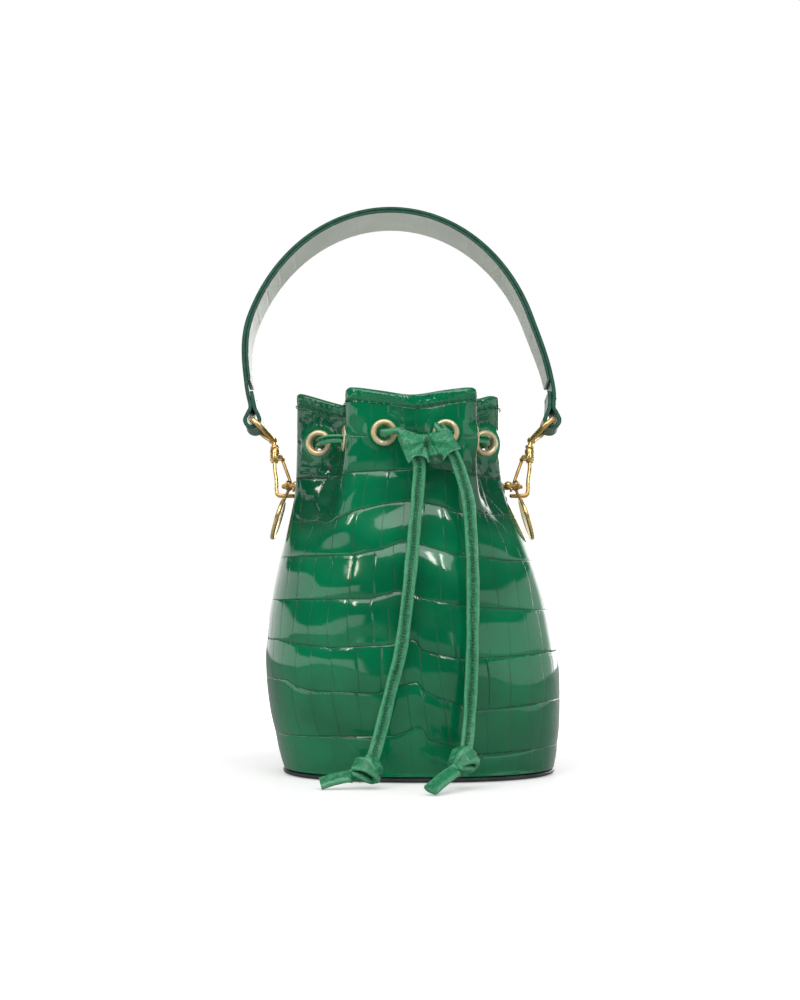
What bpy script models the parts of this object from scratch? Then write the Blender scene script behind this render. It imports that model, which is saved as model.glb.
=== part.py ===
"""A small drawstring bucket bag with a gathered neck and a short handle on snap hooks.

Metres, +Z up, the front towards -Y, the origin at the centre of the base on the floor.
The body is an oval leather bucket whose top is gathered into a pleated neck by a drawstring.
"""

import math

import bmesh
import bpy
import numpy as np
from mathutils import Matrix, Vector

# Body: one oval from base to neck, as (height, half width, half depth, middle in x)
BODY_PROFILE = (
    (0.0000, 0.0630, 0.0500, 0.0000),
    (0.0040, 0.0652, 0.0520, -0.0003),
    (0.0160, 0.0676, 0.0545, -0.0010),
    (0.0310, 0.0698, 0.0565, -0.0021),
    (0.0450, 0.0707, 0.0575, -0.0031),
    (0.0600, 0.0700, 0.0570, -0.0038),
    (0.0800, 0.0671, 0.0550, -0.0046),
    (0.0990, 0.0630, 0.0520, -0.0054),
    (0.1200, 0.0595, 0.0490, -0.0068),
    (0.1380, 0.0550, 0.0465, -0.0082),
    (0.1580, 0.0515, 0.0445, -0.0096),
    (0.1850, 0.0480, 0.0430, -0.0110),
)
OVAL_POWER = 2.25
GATHER_START = 0.095
GATHER_END = 0.162
# Front half of the gathered neck seen from above, as (x, y, rim height), left side and right side
NECK_LEFT = (
    (-0.0040, -0.0418, 0.1767),
    (-0.0175, -0.0438, 0.1782),
    (-0.0295, -0.0437, 0.1797),
    (-0.0342, -0.0405, 0.1795),
    (-0.0350, -0.0345, 0.1760),
    (-0.0362, -0.0283, 0.1736),
    (-0.0410, -0.0248, 0.1750),
    (-0.0490, -0.0234, 0.1775),
    (-0.0562, -0.0205, 0.1797),
    (-0.0587, -0.0160, 0.1797),
    (-0.0556, -0.0085, 0.1780),
    (-0.0538, 0.0000, 0.1770),
)
NECK_RIGHT = (
    (-0.0040, -0.0418, 0.1767),
    (0.0110, -0.0436, 0.1785),
    (0.0215, -0.0436, 0.1797),
    (0.0262, -0.0405, 0.1795),
    (0.0258, -0.0345, 0.1772),
    (0.0250, -0.0285, 0.1762),
    (0.0282, -0.0244, 0.1770),
    (0.0330, -0.0222, 0.1785),
    (0.0372, -0.0180, 0.1790),
    (0.0384, -0.0130, 0.1785),
    (0.0378, -0.0065, 0.1778),
    (0.0374, 0.0000, 0.1770),
)
LEATHER = 0.0018
LINING = 0.0008
GAP = 0.0003
LINING_GAP = 0.0008
SEAM_GAP = 0.0004
PANEL_BOTTOM = 0.0045
BASE_HEIGHT = 0.0040
BOARD_HEIGHT = 0.0020
LINING_TOP = 0.1475
COLUMNS = 68
ROWS = (0.0045, 0.016, 0.032, 0.050, 0.072, 0.094, 0.110)
ROWS += (0.124, 0.136, 0.146, 0.154, 0.163, 0.171)
GIRTH = 0.38
RIM_LEVEL = 0.1785

# Eyelets: where they sit along the front quarters of the neck, as shares from centre to side
EYELET_LEFT = (0.145, 0.435, 0.645)
EYELET_RIGHT = (0.205, 0.475, 0.665)
EYELET_LEVELS = (0.1593, 0.1575, 0.1564)
EYELET_RADIUS = 0.0062
EYELET_HOLE = 0.0036
WASHER_RADIUS = 0.0052
BARREL_RADIUS = 0.0042
FLAT_NEAR = 0.0072
FLAT_FAR = 0.0105

# Drawstring
LACE_RADIUS = 0.0018
TAIL_RADIUS = 0.0029
LACE_OUT = 0.0042
LACE_IN = 0.0046
SLIDER_OUTLINE = (
    (-0.0112, 0.1585),
    (-0.0100, 0.1600),
    (0.0055, 0.1598),
    (0.0130, 0.1604),
    (0.0152, 0.1580),
    (0.0190, 0.1515),
    (0.0180, 0.1492),
    (0.0112, 0.1466),
    (0.0060, 0.1450),
    (0.0030, 0.1450),
    (-0.0045, 0.1448),
    (-0.0062, 0.1462),
)
SLIDER_BACK = -0.0472
SLIDER_DEPTH = 0.0092
TUNNEL_RADIUS = 0.0033
TUNNEL_LEFT = ((-0.0088, -0.0518, 0.1585), (-0.0004, -0.0518, 0.1440))
TUNNEL_RIGHT = ((0.0095, -0.0518, 0.1590), (0.0158, -0.0518, 0.1466))
TAIL_LEFT_ROUTE = (
    (-0.0075, -0.0518, 0.1562),
    (-0.0040, -0.0518, 0.1502),
    (-0.0006, -0.0519, 0.1443),
    (-0.0012, -0.0526, 0.1310),
    (-0.0026, -0.0545, 0.1160),
    (-0.0038, -0.0568, 0.1030),
    (-0.0057, -0.0601, 0.0845),
    (-0.0089, -0.0617, 0.0600),
    (-0.0129, -0.0623, 0.0440),
    (-0.0176, -0.0643, 0.0250),
    (-0.0208, -0.0678, 0.0140),
)
TAIL_RIGHT_ROUTE = (
    (0.0104, -0.0518, 0.1572),
    (0.0130, -0.0518, 0.1521),
    (0.0158, -0.0519, 0.1466),
    (0.0192, -0.0524, 0.1370),
    (0.0216, -0.0536, 0.1270),
    (0.0227, -0.0556, 0.1130),
    (0.0234, -0.0590, 0.0900),
    (0.0230, -0.0616, 0.0640),
    (0.0225, -0.0624, 0.0490),
    (0.0216, -0.0640, 0.0330),
    (0.0203, -0.0680, 0.0205),
)
KNOT_LEFT = (-0.0236, -0.0718, 0.0078)
KNOT_LEFT_TIP = (-0.0440, -0.0735, 0.0032)
KNOT_RIGHT = (0.0184, -0.0735, 0.0112)
KNOT_RIGHT_TIP = (0.0036, -0.0965, 0.0032)
KNOT_RADIUS = 0.0074

# Side rings, in the side slots
RING_LEVEL = 0.1375
RING_RADIUS = 0.0075
RING_WIRE = 0.0011
RING_INSIDE = 0.0055
SLOT_WIDTH = 0.0186
SLOT_HEIGHT = 0.0066
ANCHOR_HALF = 0.0025
ANCHOR_OUTER = 0.0027
ANCHOR_HOLE = 0.0018
MEDALLION_RADIUS = 0.0105
MEDALLION_THICK = 0.0020
MEDALLION_DROP = 0.0042
MEDALLION_LEAN = math.radians(17)
MEDALLION_PLACE = math.radians(52)
BAIL_RADIUS = 0.0021
BAIL_WIRE = 0.0005

# Handle and hooks, drawn in the upright plane through the rings and then leaned back
HANDLE_LEAN = math.radians(15)
HANDLE_WIDTH = 0.0200
STRAP = 0.0017
STRIP = 0.0012
LINING_INSET = 0.0012
ARCH_HALF = 0.0757
ARCH_RISE = 0.0940
ARCH_FOOT = 0.0540
# The arch sways to the left above its folds
SWAY = 0.0060
SWAY_START = 0.0360
SWAY_END = 0.0880
FOLD_OUT = 0.0735
FOLD_LEVEL = 0.0330
FOLD_RADIUS = 0.0027
FLAP_TOP = 0.0480
HOOK_WIRE = 0.0010
HOOK_OUT = 0.0033
HOOK_DROP = 0.0048
HOOK_BLOCK = 0.0168
HOOK_LEAN = 0.0014
HOOK_TIP = 0.0085
GATE_REACH = 0.0084
GATE_LIFT = 0.0022
GATE_RADIUS = 0.0008
EYE_COLLAR = 0.0245
EYE_WIRE = 0.0011

GREEN = (0.000, 0.155, 0.062, 1.0)
CORD_GREEN = (0.013, 0.260, 0.090, 1.0)
EDGE_GREEN = (0.007, 0.085, 0.050, 1.0)
SAGE = (0.440, 0.500, 0.440, 1.0)
GOLD = (0.780, 0.500, 0.200, 1.0)
CHARCOAL = (0.035, 0.050, 0.045, 1.0)
SAND = (0.420, 0.340, 0.230, 1.0)
BOARD_GREY = (0.300, 0.280, 0.250, 1.0)


def clear_scene():
    for thing in list(bpy.data.objects):
        bpy.data.objects.remove(thing, do_unlink=True)


def material(name, colour, roughness, metallic=0.0):
    made = bpy.data.materials.new(name)
    made.use_nodes = True
    shader = made.node_tree.nodes["Principled BSDF"]
    shader.inputs["Base Color"].default_value = colour
    shader.inputs["Roughness"].default_value = roughness
    shader.inputs["Metallic"].default_value = metallic
    made.diffuse_color = colour
    return made


def add_object(name, data, colour, roughness, metallic=0.0):
    made = bpy.data.objects.new(name, data)
    made.data.materials.append(material(name, colour, roughness, metallic))
    bpy.context.scene.collection.objects.link(made)
    return made


def mesh_of(name, points, faces, smooth=True):
    """A mesh with its normals facing out and sharp edges kept."""
    mesh = bpy.data.meshes.new(name)
    mesh.from_pydata([tuple(point) for point in points], [], [tuple(face) for face in faces])
    shape = bmesh.new()
    shape.from_mesh(mesh)
    bmesh.ops.recalc_face_normals(shape, faces=shape.faces)
    shape.to_mesh(mesh)
    shape.free()
    if smooth:
        mesh.shade_smooth()
        mesh.set_sharp_from_angle(angle=math.radians(40))
    return mesh


def smoothstep(low, high, value):
    share = np.clip((value - low) / (high - low), 0.0, 1.0)
    return share * share * (3 - 2 * share)


def spline(points, per_span):
    """Points along a smooth curve through the given ones."""
    keys = np.array(points, float)
    keys = np.vstack([2 * keys[0] - keys[1], keys, 2 * keys[-1] - keys[-2]])
    found = []
    for before, start, end, after in zip(keys, keys[1:], keys[2:], keys[3:]):
        for step in range(per_span):
            t = step / per_span
            pull = (end - before) * t + (2 * before - 5 * start + 4 * end - after) * t * t
            found.append(start + 0.5 * (pull + (3 * start - before - 3 * end + after) * t ** 3))
    found.append(keys[-2])
    return np.array(found)


def resample(points, spacing):
    """The same line with points at an even distance along it."""
    steps = np.linalg.norm(np.diff(points, axis=0), axis=1)
    run = np.concatenate([[0], np.cumsum(steps)])
    count = max(2, int(round(run[-1] / spacing)) + 1)
    at = np.linspace(0, run[-1], count)
    return np.stack([np.interp(at, run, points[:, axis]) for axis in range(3)], axis=1)


PROFILE_LINE = spline(BODY_PROFILE, 12)


def body_at(height):
    return [np.interp(height, PROFILE_LINE[:, 0], PROFILE_LINE[:, column]) for column in (1, 2, 3)]


def neck_quarter(keys):
    """The front quarter of the neck outline, sampled, with its share of the length from 0 to 1."""
    mirrored_start = (2 * keys[0][0] - keys[1][0], keys[1][1], keys[1][2])
    mirrored_end = np.array(keys[-2]) * (1, -1, 1)
    line = spline([mirrored_start, *keys, mirrored_end], 10)[10:-10]
    steps = np.linalg.norm(np.diff(line[:, :2], axis=0), axis=1)
    run = np.concatenate([[0], np.cumsum(steps)])
    return run / run[-1], line


LEFT_QUARTER = neck_quarter(NECK_LEFT)
RIGHT_QUARTER = neck_quarter(NECK_RIGHT)


def neck_at(turn):
    """Neck outline at a turn: 0 front, 0.25 left, 0.5 back, 0.75 right."""
    turn = turn % 1.0
    left = turn <= 0.5
    share = turn / 0.25 if left else (1.0 - turn) / 0.25
    back = share > 1.0
    if back:
        share = 2.0 - share
    along, line = LEFT_QUARTER if left else RIGHT_QUARTER
    x, y, rim = [np.interp(share, along, line[:, axis]) for axis in range(3)]
    return x, -y if back else y, rim


def skin(turn, height):
    """A point of the body's outer surface."""
    half_width, half_depth, middle = body_at(height)
    angle = 2 * math.pi * turn
    power = 2 / OVAL_POWER
    side, front = math.sin(angle), math.cos(angle)
    oval_x = middle - half_width * math.copysign(abs(side) ** power, side)
    oval_y = -half_depth * math.copysign(abs(front) ** power, front)
    neck_x, neck_y, _ = neck_at(turn)
    share = float(smoothstep(GATHER_START, GATHER_END, height))
    return np.array([
        oval_x + (neck_x - oval_x) * share,
        oval_y + (neck_y - oval_y) * share,
        height,
    ])


def outward(turn, height):
    around = skin(turn + 0.002, height) - skin(turn - 0.002, height)
    upward = skin(turn, height + 0.001) - skin(turn, height - 0.001)
    normal = np.cross(upward, around)
    return normal / np.linalg.norm(normal)


def eyelet_seats():
    """The twelve eyelets from the front left round the back to the front right: point and normal."""
    left = [share * 0.25 for share in EYELET_LEFT]
    right = [1 - share * 0.25 for share in EYELET_RIGHT]
    levels = list(EYELET_LEVELS)
    turns = left + [0.5 - turn for turn in reversed(left)]
    turns += [1.5 - turn for turn in right] + list(reversed(right))
    heights = levels + levels[::-1] + levels + levels[::-1]
    return [(skin(turn, height), outward(turn, height)) for turn, height in zip(turns, heights)]


EYELETS = eyelet_seats()


def flattened(point, depth):
    """Leather presses flat under an eyelet: the point moves onto the eyelet's plane."""
    for seat, normal in EYELETS:
        offset = point - seat
        away = np.linalg.norm(offset - normal * offset.dot(normal))
        if away < FLAT_FAR and abs(offset.dot(normal) + depth) < 0.006:
            pull = 1 - float(smoothstep(FLAT_NEAR, FLAT_FAR, away))
            point = point - normal * (offset.dot(normal) + depth) * pull
    return point


def level_at(turn, level):
    """Heights follow the wavy rim near the top."""
    rim = neck_at(turn)[2]
    return level + (rim - RIM_LEVEL) * float(smoothstep(0.135, RIM_LEVEL, level))


def wall_point(turn, level, depth):
    height = level_at(turn, level)
    return flattened(skin(turn, height) - outward(turn, height) * depth, depth)


def strip_shell(turns, levels, outer, inner):
    """Outer and inner sheets of a wall over a range of turns, as one closed solid."""
    points = []
    for depth in (outer, inner):
        for level in levels:
            points += [wall_point(turn, level, depth) for turn in turns]
    across, rows = len(turns), len(levels)
    sheet = across * rows

    def at(side, row, column):
        return side * sheet + row * across + column

    faces = []
    for row in range(rows - 1):
        for column in range(across - 1):
            square = [at(0, row, column), at(0, row, column + 1)]
            square += [at(0, row + 1, column + 1), at(0, row + 1, column)]
            faces.append(square)
            faces.append([corner + sheet for corner in reversed(square)])
    for column in range(across - 1):
        for row in (0, rows - 1):
            near, far = at(0, row, column), at(0, row, column + 1)
            faces.append([near, far, far + sheet, near + sheet])
    for row in range(rows - 1):
        for column in (0, across - 1):
            low, high = at(0, row, column), at(0, row + 1, column)
            faces.append([low, high, high + sheet, low + sheet])
    return points, faces


def panel_turns(start):
    """Column positions of a half panel, with its ends held back from the side seams."""
    width = 0.5 * SEAM_GAP / GIRTH
    return np.linspace(start + width, start + 0.5 - width, COLUMNS // 2 + 1)


def hidden_cutter(name, mesh):
    made = bpy.data.objects.new(name, mesh)
    bpy.context.scene.collection.objects.link(made)
    made.hide_render = True
    made.display_type = "WIRE"
    return made


def cut(target, cutter):
    boolean = target.modifiers.new(cutter.name, "BOOLEAN")
    boolean.operation = "DIFFERENCE"
    boolean.solver = "EXACT"
    boolean.object = cutter


def join(target, other):
    boolean = target.modifiers.new(other.name, "BOOLEAN")
    boolean.operation = "UNION"
    boolean.solver = "EXACT"
    boolean.object = other
    other.hide_render = True
    other.display_type = "WIRE"


def turned(name, profile, segments, at, axis):
    """A ring: a closed (radius, height) profile turned about an axis through a point."""
    frame = Vector(axis).to_track_quat("Z", "Y").to_matrix()
    points, faces = [], []
    for step in range(segments):
        angle = 2 * math.pi * step / segments
        for radius, height in profile:
            local = Vector((radius * math.cos(angle), radius * math.sin(angle), height))
            points.append(Vector(at) + frame @ local)
    count = len(profile)
    for step in range(segments):
        follow = (step + 1) % segments
        for index in range(count):
            nearby = (index + 1) % count
            faces.append((
                step * count + index,
                step * count + nearby,
                follow * count + nearby,
                follow * count + index,
            ))
    return mesh_of(name, points, faces)


def rod(name, start, end, radius, segments=12):
    """A plain cylinder between two points."""
    start, end = Vector(start), Vector(end)
    mesh = bpy.data.meshes.new(name)
    shape = bmesh.new()
    frame = (end - start).to_track_quat("Z", "Y").to_matrix().to_4x4()
    bmesh.ops.create_cone(
        shape,
        cap_ends=True,
        segments=segments,
        radius1=radius,
        radius2=radius,
        depth=(end - start).length,
        matrix=Matrix.Translation((start + end) / 2) @ frame,
    )
    shape.to_mesh(mesh)
    shape.free()
    mesh.shade_smooth()
    mesh.set_sharp_from_angle(angle=math.radians(40))
    return mesh


def tube(name, points, radius, sides=8, closed=False):
    """A round tube along points, with capped ends, or closed on itself."""
    points = np.array(points, float)
    count = len(points)
    if closed:
        ahead = np.roll(points, -1, axis=0) - np.roll(points, 1, axis=0)
    else:
        ahead = np.gradient(points, axis=0)
    ahead /= np.linalg.norm(ahead, axis=1)[:, None]
    aside = np.cross(ahead[0], (0.0, 0.0, 1.0))
    if np.linalg.norm(aside) < 0.1:
        aside = np.cross(ahead[0], (0.0, 1.0, 0.0))
    verts, faces = [], []
    for index in range(count):
        aside = aside - ahead[index] * aside.dot(ahead[index])
        aside /= np.linalg.norm(aside)
        up = np.cross(ahead[index], aside)
        for side in range(sides):
            angle = 2 * math.pi * side / sides
            spoke = math.cos(angle) * aside + math.sin(angle) * up
            verts.append(points[index] + radius * spoke)
    for index in range(count if closed else count - 1):
        follow = (index + 1) % count
        for side in range(sides):
            nearby = (side + 1) % sides
            faces.append((
                index * sides + side,
                index * sides + nearby,
                follow * sides + nearby,
                follow * sides + side,
            ))
    if not closed:
        faces.append(tuple(range(sides)))
        faces.append(tuple(range((count - 1) * sides, count * sides)))
    return mesh_of(name, verts, faces)


def make_panel(name, start):
    turns = panel_turns(start)
    points, faces = strip_shell(turns, list(ROWS) + [RIM_LEVEL], 0.0, LEATHER)
    return add_object(name, mesh_of(name, points, faces), GREEN, 0.12)


def cup_of(levels, outer, inner, floor_low, floor_high):
    """An open cup: an outer wall, an inner wall and a closed bottom, in line with the panels."""
    turns = np.concatenate([panel_turns(-0.25), panel_turns(0.25)])
    count = len(turns)
    rings = [[wall_point(turn, level, outer) for turn in turns] for level in levels]
    rings += [[wall_point(turn, level, inner) for turn in turns] for level in reversed(levels)]
    for ring, height in ((rings[0], floor_low), (rings[-1], floor_high)):
        for point in ring:
            point[2] = height
    points = [point for ring in rings for point in ring]
    faces = []
    for row in range(len(rings) - 1):
        for column in range(count):
            follow = (column + 1) % count
            faces.append((
                row * count + column,
                row * count + follow,
                (row + 1) * count + follow,
                (row + 1) * count + column,
            ))
    last = (len(rings) - 1) * count
    faces.append(tuple(range(count)))
    faces.append(tuple(range(last, last + count)))
    return points, faces


def make_lining():
    levels = [row for row in ROWS if row < LINING_TOP]
    levels.append(LINING_TOP)
    outer = LEATHER + LINING_GAP
    low = PANEL_BOTTOM + BOARD_HEIGHT + GAP
    points, faces = cup_of(levels, outer, outer + LINING, low, low + LINING)
    return add_object("lining", mesh_of("lining", points, faces), SAND, 0.8)


def oval_slab(name, rings):
    """A slab from stacked ovals, each as (height, level of the body it follows, inset)."""
    turns = np.linspace(0, 1, 48, endpoint=False)
    points = []
    for height, level, inset in rings:
        for turn in turns:
            point = skin(turn, level) - outward(turn, level) * inset
            points.append((point[0], point[1], height))
    faces = [tuple(range(48)), tuple(range((len(rings) - 1) * 48, len(rings) * 48))]
    for row in range(len(rings) - 1):
        for column in range(48):
            follow = (column + 1) % 48
            faces.append((
                row * 48 + column,
                row * 48 + follow,
                (row + 1) * 48 + follow,
                (row + 1) * 48 + column,
            ))
    return mesh_of(name, points, faces)


def make_base():
    rings = (
        (0.0, 0.004, 0.0022),
        (0.0008, 0.004, 0.0008),
        (0.0020, 0.004, 0.0),
        (BASE_HEIGHT, 0.004, -0.0003),
    )
    add_object("base_panel", oval_slab("base_panel", rings), CHARCOAL, 0.45)
    low = PANEL_BOTTOM
    edge = LEATHER + GAP + 0.0004
    rings = ((low, 0.0045, edge), (low + BOARD_HEIGHT, 0.0045, edge))
    add_object("base_board", oval_slab("base_board", rings), BOARD_GREY, 0.8)


def eyelet_profile():
    top = GAP + 0.0013
    below = -LEATHER - GAP - 0.0009
    return (
        (EYELET_HOLE, below),
        (EYELET_HOLE, top - 0.0004),
        (EYELET_HOLE + 0.0008, top),
        (EYELET_RADIUS - 0.0008, top),
        (EYELET_RADIUS, GAP),
        (BARREL_RADIUS, GAP),
        (BARREL_RADIUS, below),
    )


def make_eyelets(panels):
    washer_low = -LEATHER - GAP - 0.0007
    washer = (
        (BARREL_RADIUS + GAP, washer_low),
        (BARREL_RADIUS + GAP, -LEATHER - GAP),
        (WASHER_RADIUS, -LEATHER - GAP),
        (WASHER_RADIUS, washer_low),
    )
    for index, (seat, normal) in enumerate(EYELETS):
        number = f"{index + 1:02d}"
        name = "eyelet_" + number
        add_object(name, turned(name, eyelet_profile(), 14, seat, normal), GOLD, 0.2, 1.0)
        name = "washer_" + number
        add_object(name, turned(name, washer, 12, seat, normal), GOLD, 0.3, 1.0)
        seat, normal = Vector(seat), Vector(normal)
        inside = seat - normal * LEATHER
        for kind, start, end, radius in (
            ("hole_", inside - normal * 0.004, seat + normal * 0.004, BARREL_RADIUS + GAP),
            ("seat_", seat, seat + normal * 0.003, EYELET_RADIUS + GAP),
            ("dent_", inside - normal * 0.003, inside, WASHER_RADIUS + GAP),
        ):
            cutter = hidden_cutter(kind + number, rod(kind + number, start, end, radius, 16))
            cut(panels[0 if seat.y < 0 else 1], cutter)


def lace_mid(first, second, lift):
    """The middle of a stretch of lace between two eyelets."""
    normal = first[1] + second[1]
    normal = normal / np.linalg.norm(normal)
    return (first[0] + second[0]) / 2 + normal * lift


def lace_route():
    """From inside eyelet 1 round the back to inside eyelet 12, in and out of the eyelets."""
    route = []
    for index in range(11):
        first, second = EYELETS[index], EYELETS[index + 1]
        outside = index % 2 == 1
        lift = LACE_OUT if outside else -LACE_IN
        across = second[0] - first[0]
        span = np.linalg.norm(across)
        across = across / span
        if index > 0:
            route.append(first[0])
        start_at = 0.0045 if index == 0 else 0.0022
        end_at = 0.0045 if index == 10 else 0.0022
        route.append(first[0] + first[1] * lift + across * start_at)
        if span > 0.016:
            route.append(lace_mid(first, second, lift * (1.0 if outside else 1.3)))
        route.append(second[0] + second[1] * lift - across * end_at)
    return route


def make_drawstring():
    points = resample(spline(lace_route(), 8), 0.0040)
    loop = tube("drawstring_loop", points, LACE_RADIUS, 8)
    add_object("drawstring_loop", loop, CORD_GREEN, 0.5)
    ends = (("left", EYELETS[0], TUNNEL_LEFT), ("right", EYELETS[11], TUNNEL_RIGHT))
    for side, seat, tunnel in ends:
        point, normal = seat
        entry = np.array(tunnel[0])
        toward = (entry - point) * (1, 0, 0)
        toward = toward / np.linalg.norm(toward)
        start = point - normal * LACE_IN + toward * 0.0008
        outer = point + normal * LACE_OUT + toward * 0.0020
        down = np.array(tunnel[1]) - entry
        down = down / np.linalg.norm(down)
        route = [start, point - normal * 0.0020, point + normal * 0.001]
        route += [outer, entry - down * 0.0010, entry + down * 0.0010]
        if side == "right":
            route = route[:3] + [entry - down * 0.0030, entry + down * 0.0006]
        line = resample(spline(route, 8), 0.0030)
        name = "cord_entry_" + side
        add_object(name, tube(name, line, LACE_RADIUS, 8), CORD_GREEN, 0.5)


def make_tail(name, route):
    points = resample(spline(route, 12), 2.4 * TAIL_RADIUS)
    curve = bpy.data.curves.new(name, "CURVE")
    curve.dimensions = "3D"
    curve.bevel_depth = TAIL_RADIUS
    curve.bevel_resolution = 2
    curve.use_fill_caps = True
    line = curve.splines.new("POLY")
    line.points.add(len(points) - 1)
    for point, place in zip(line.points, points):
        point.co = (*place, 1)
    return add_object(name, curve, CORD_GREEN, 0.5)


def make_knot(name, centre, tip, tail_route):
    """An overhand knot as a rounded lump, with the cut end of the cord lying beyond it."""
    centre, tip = Vector(centre), Vector(tip)
    mesh = bpy.data.meshes.new(name)
    shape = bmesh.new()
    bmesh.ops.create_uvsphere(shape, u_segments=14, v_segments=9, radius=KNOT_RADIUS)
    bmesh.ops.scale(shape, vec=(1.0, 0.95, 0.92), verts=shape.verts)
    bmesh.ops.translate(shape, vec=centre, verts=shape.verts)
    shape.to_mesh(mesh)
    shape.free()
    mesh.shade_smooth()
    knot = add_object(name, mesh, CORD_GREEN, 0.5)
    start = centre.lerp(tip, 0.15)
    end = tube(name + "_end", [start, start.lerp(tip, 0.5), tip], TAIL_RADIUS, 10)
    join(knot, hidden_cutter(name + "_end", end))
    last, before = Vector(tail_route[-1]), Vector(tail_route[-2])
    along = (last - before).normalized()
    room = rod(name + "_room", last - along * 0.006, last + along * GAP, TAIL_RADIUS + GAP, 12)
    cut(knot, hidden_cutter(name + "_room", room))
    return knot


def make_slider():
    """Leather slider: a stitched double sleeve with a slanting tunnel for each cord."""
    mesh = bpy.data.meshes.new("slider")
    shape = bmesh.new()
    front = [shape.verts.new((x, SLIDER_BACK - SLIDER_DEPTH, z)) for x, z in SLIDER_OUTLINE]
    face = shape.faces.new(front)
    moved = bmesh.ops.extrude_face_region(shape, geom=[face])
    corners = [item for item in moved["geom"] if isinstance(item, bmesh.types.BMVert)]
    bmesh.ops.translate(shape, vec=(0, SLIDER_DEPTH, 0), verts=corners)
    bmesh.ops.recalc_face_normals(shape, faces=shape.faces)
    shape.to_mesh(mesh)
    shape.free()
    slider = add_object("slider", mesh, CORD_GREEN, 0.5)
    bevel = slider.modifiers.new("soft_edges", "BEVEL")
    bevel.width = 0.0022
    bevel.segments = 2
    bevel.angle_limit = math.radians(50)
    for side, (start, end) in (("left", TUNNEL_LEFT), ("right", TUNNEL_RIGHT)):
        start, end = Vector(start), Vector(end)
        along = (end - start).normalized()
        hole = rod("tunnel_" + side, start - along * 0.006, end + along * 0.006, TUNNEL_RADIUS, 12)
        cut(slider, hidden_cutter("tunnel_" + side, hole))
        seat = Vector(EYELETS[0][0] if side == "left" else EYELETS[11][0])
        mouth = rod("mouth_" + side, seat, start + along * 0.002, TUNNEL_RADIUS + GAP, 12)
        cut(slider, hidden_cutter("mouth_" + side, mouth))
    return slider


def side_wall(side):
    """Outer wall at the side slot: its x and the direction that points away from the bag."""
    turn = 0.25 if side == "left" else 0.75
    away = -1 if side == "left" else 1
    return skin(turn, RING_LEVEL)[0], away


def ring_limb(side):
    """The straight-through line of the ring that is held inside the bag, at y = 0."""
    wall, away = side_wall(side)
    return wall - away * RING_INSIDE, away


def cut_slots(walls):
    for side in ("left", "right"):
        wall, _ = side_wall(side)
        mesh = bpy.data.meshes.new("slot_" + side)
        shape = bmesh.new()
        size = (0.016, SLOT_WIDTH, SLOT_HEIGHT)
        bmesh.ops.create_cube(shape, size=1.0)
        bmesh.ops.scale(shape, vec=size, verts=shape.verts)
        bmesh.ops.translate(shape, vec=(wall, 0, RING_LEVEL), verts=shape.verts)
        shape.to_mesh(mesh)
        shape.free()
        cutter = hidden_cutter("slot_" + side, mesh)
        for target in walls:
            cut(target, cutter)


def make_ring(side):
    limb, away = ring_limb(side)
    centre = limb + away * RING_RADIUS
    points = []
    for step in range(22):
        angle = 2 * math.pi * step / 22
        x = centre + RING_RADIUS * math.cos(angle)
        points.append((x, RING_RADIUS * math.sin(angle), RING_LEVEL))
    name = "ring_" + side
    wire = tube(name, points, RING_WIRE, 8, closed=True)
    return add_object(name, wire, GOLD, 0.2, 1.0)


def make_anchor(side):
    """A leather tab wrapped round the inner limb of the ring and sewn to the wall below."""
    limb, away = ring_limb(side)
    name = "anchor_" + side
    half = ANCHOR_HALF
    profile = [(ANCHOR_HOLE, -half), (ANCHOR_OUTER, -half), (ANCHOR_OUTER, half)]
    profile.append((ANCHOR_HOLE, half))
    mesh = turned(name, profile, 16, (limb, 0, RING_LEVEL), (0, 1, 0))
    anchor = add_object(name, mesh, GREEN, 0.4)
    inset = LEATHER + LINING_GAP + LINING + 2 * GAP
    turn = 0.25 if side == "left" else 0.75
    levels = [RING_LEVEL - drop for drop in (0.0021, 0.0045, 0.0090, 0.0140)]
    outer = [skin(turn, level)[0] - away * inset for level in levels]
    outer[0] = limb + away * 0.0012
    points = []
    for depth in (0.0, 0.0016):
        for level, x in zip(levels, outer):
            points += [(x - away * depth, y, level) for y in (-half, half)]
    faces = []
    rows = len(levels)
    for row in range(rows - 1):
        low, shift = 2 * row, 2 * rows
        faces.append((low, low + 1, low + 3, low + 2))
        faces.append((low + shift, low + shift + 1, low + shift + 3, low + shift + 2))
        faces.append((low, low + 2, low + 2 + shift, low + shift))
        faces.append((low + 1, low + 3, low + 3 + shift, low + 1 + shift))
    last = 2 * (rows - 1)
    faces.append((0, 1, 1 + 2 * rows, 2 * rows))
    faces.append((last, last + 1, last + 1 + 2 * rows, last + 2 * rows))
    tail = mesh_of(name + "_tail", points, faces, smooth=False)
    join(anchor, hidden_cutter(name + "_tail", tail))
    return anchor


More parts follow.
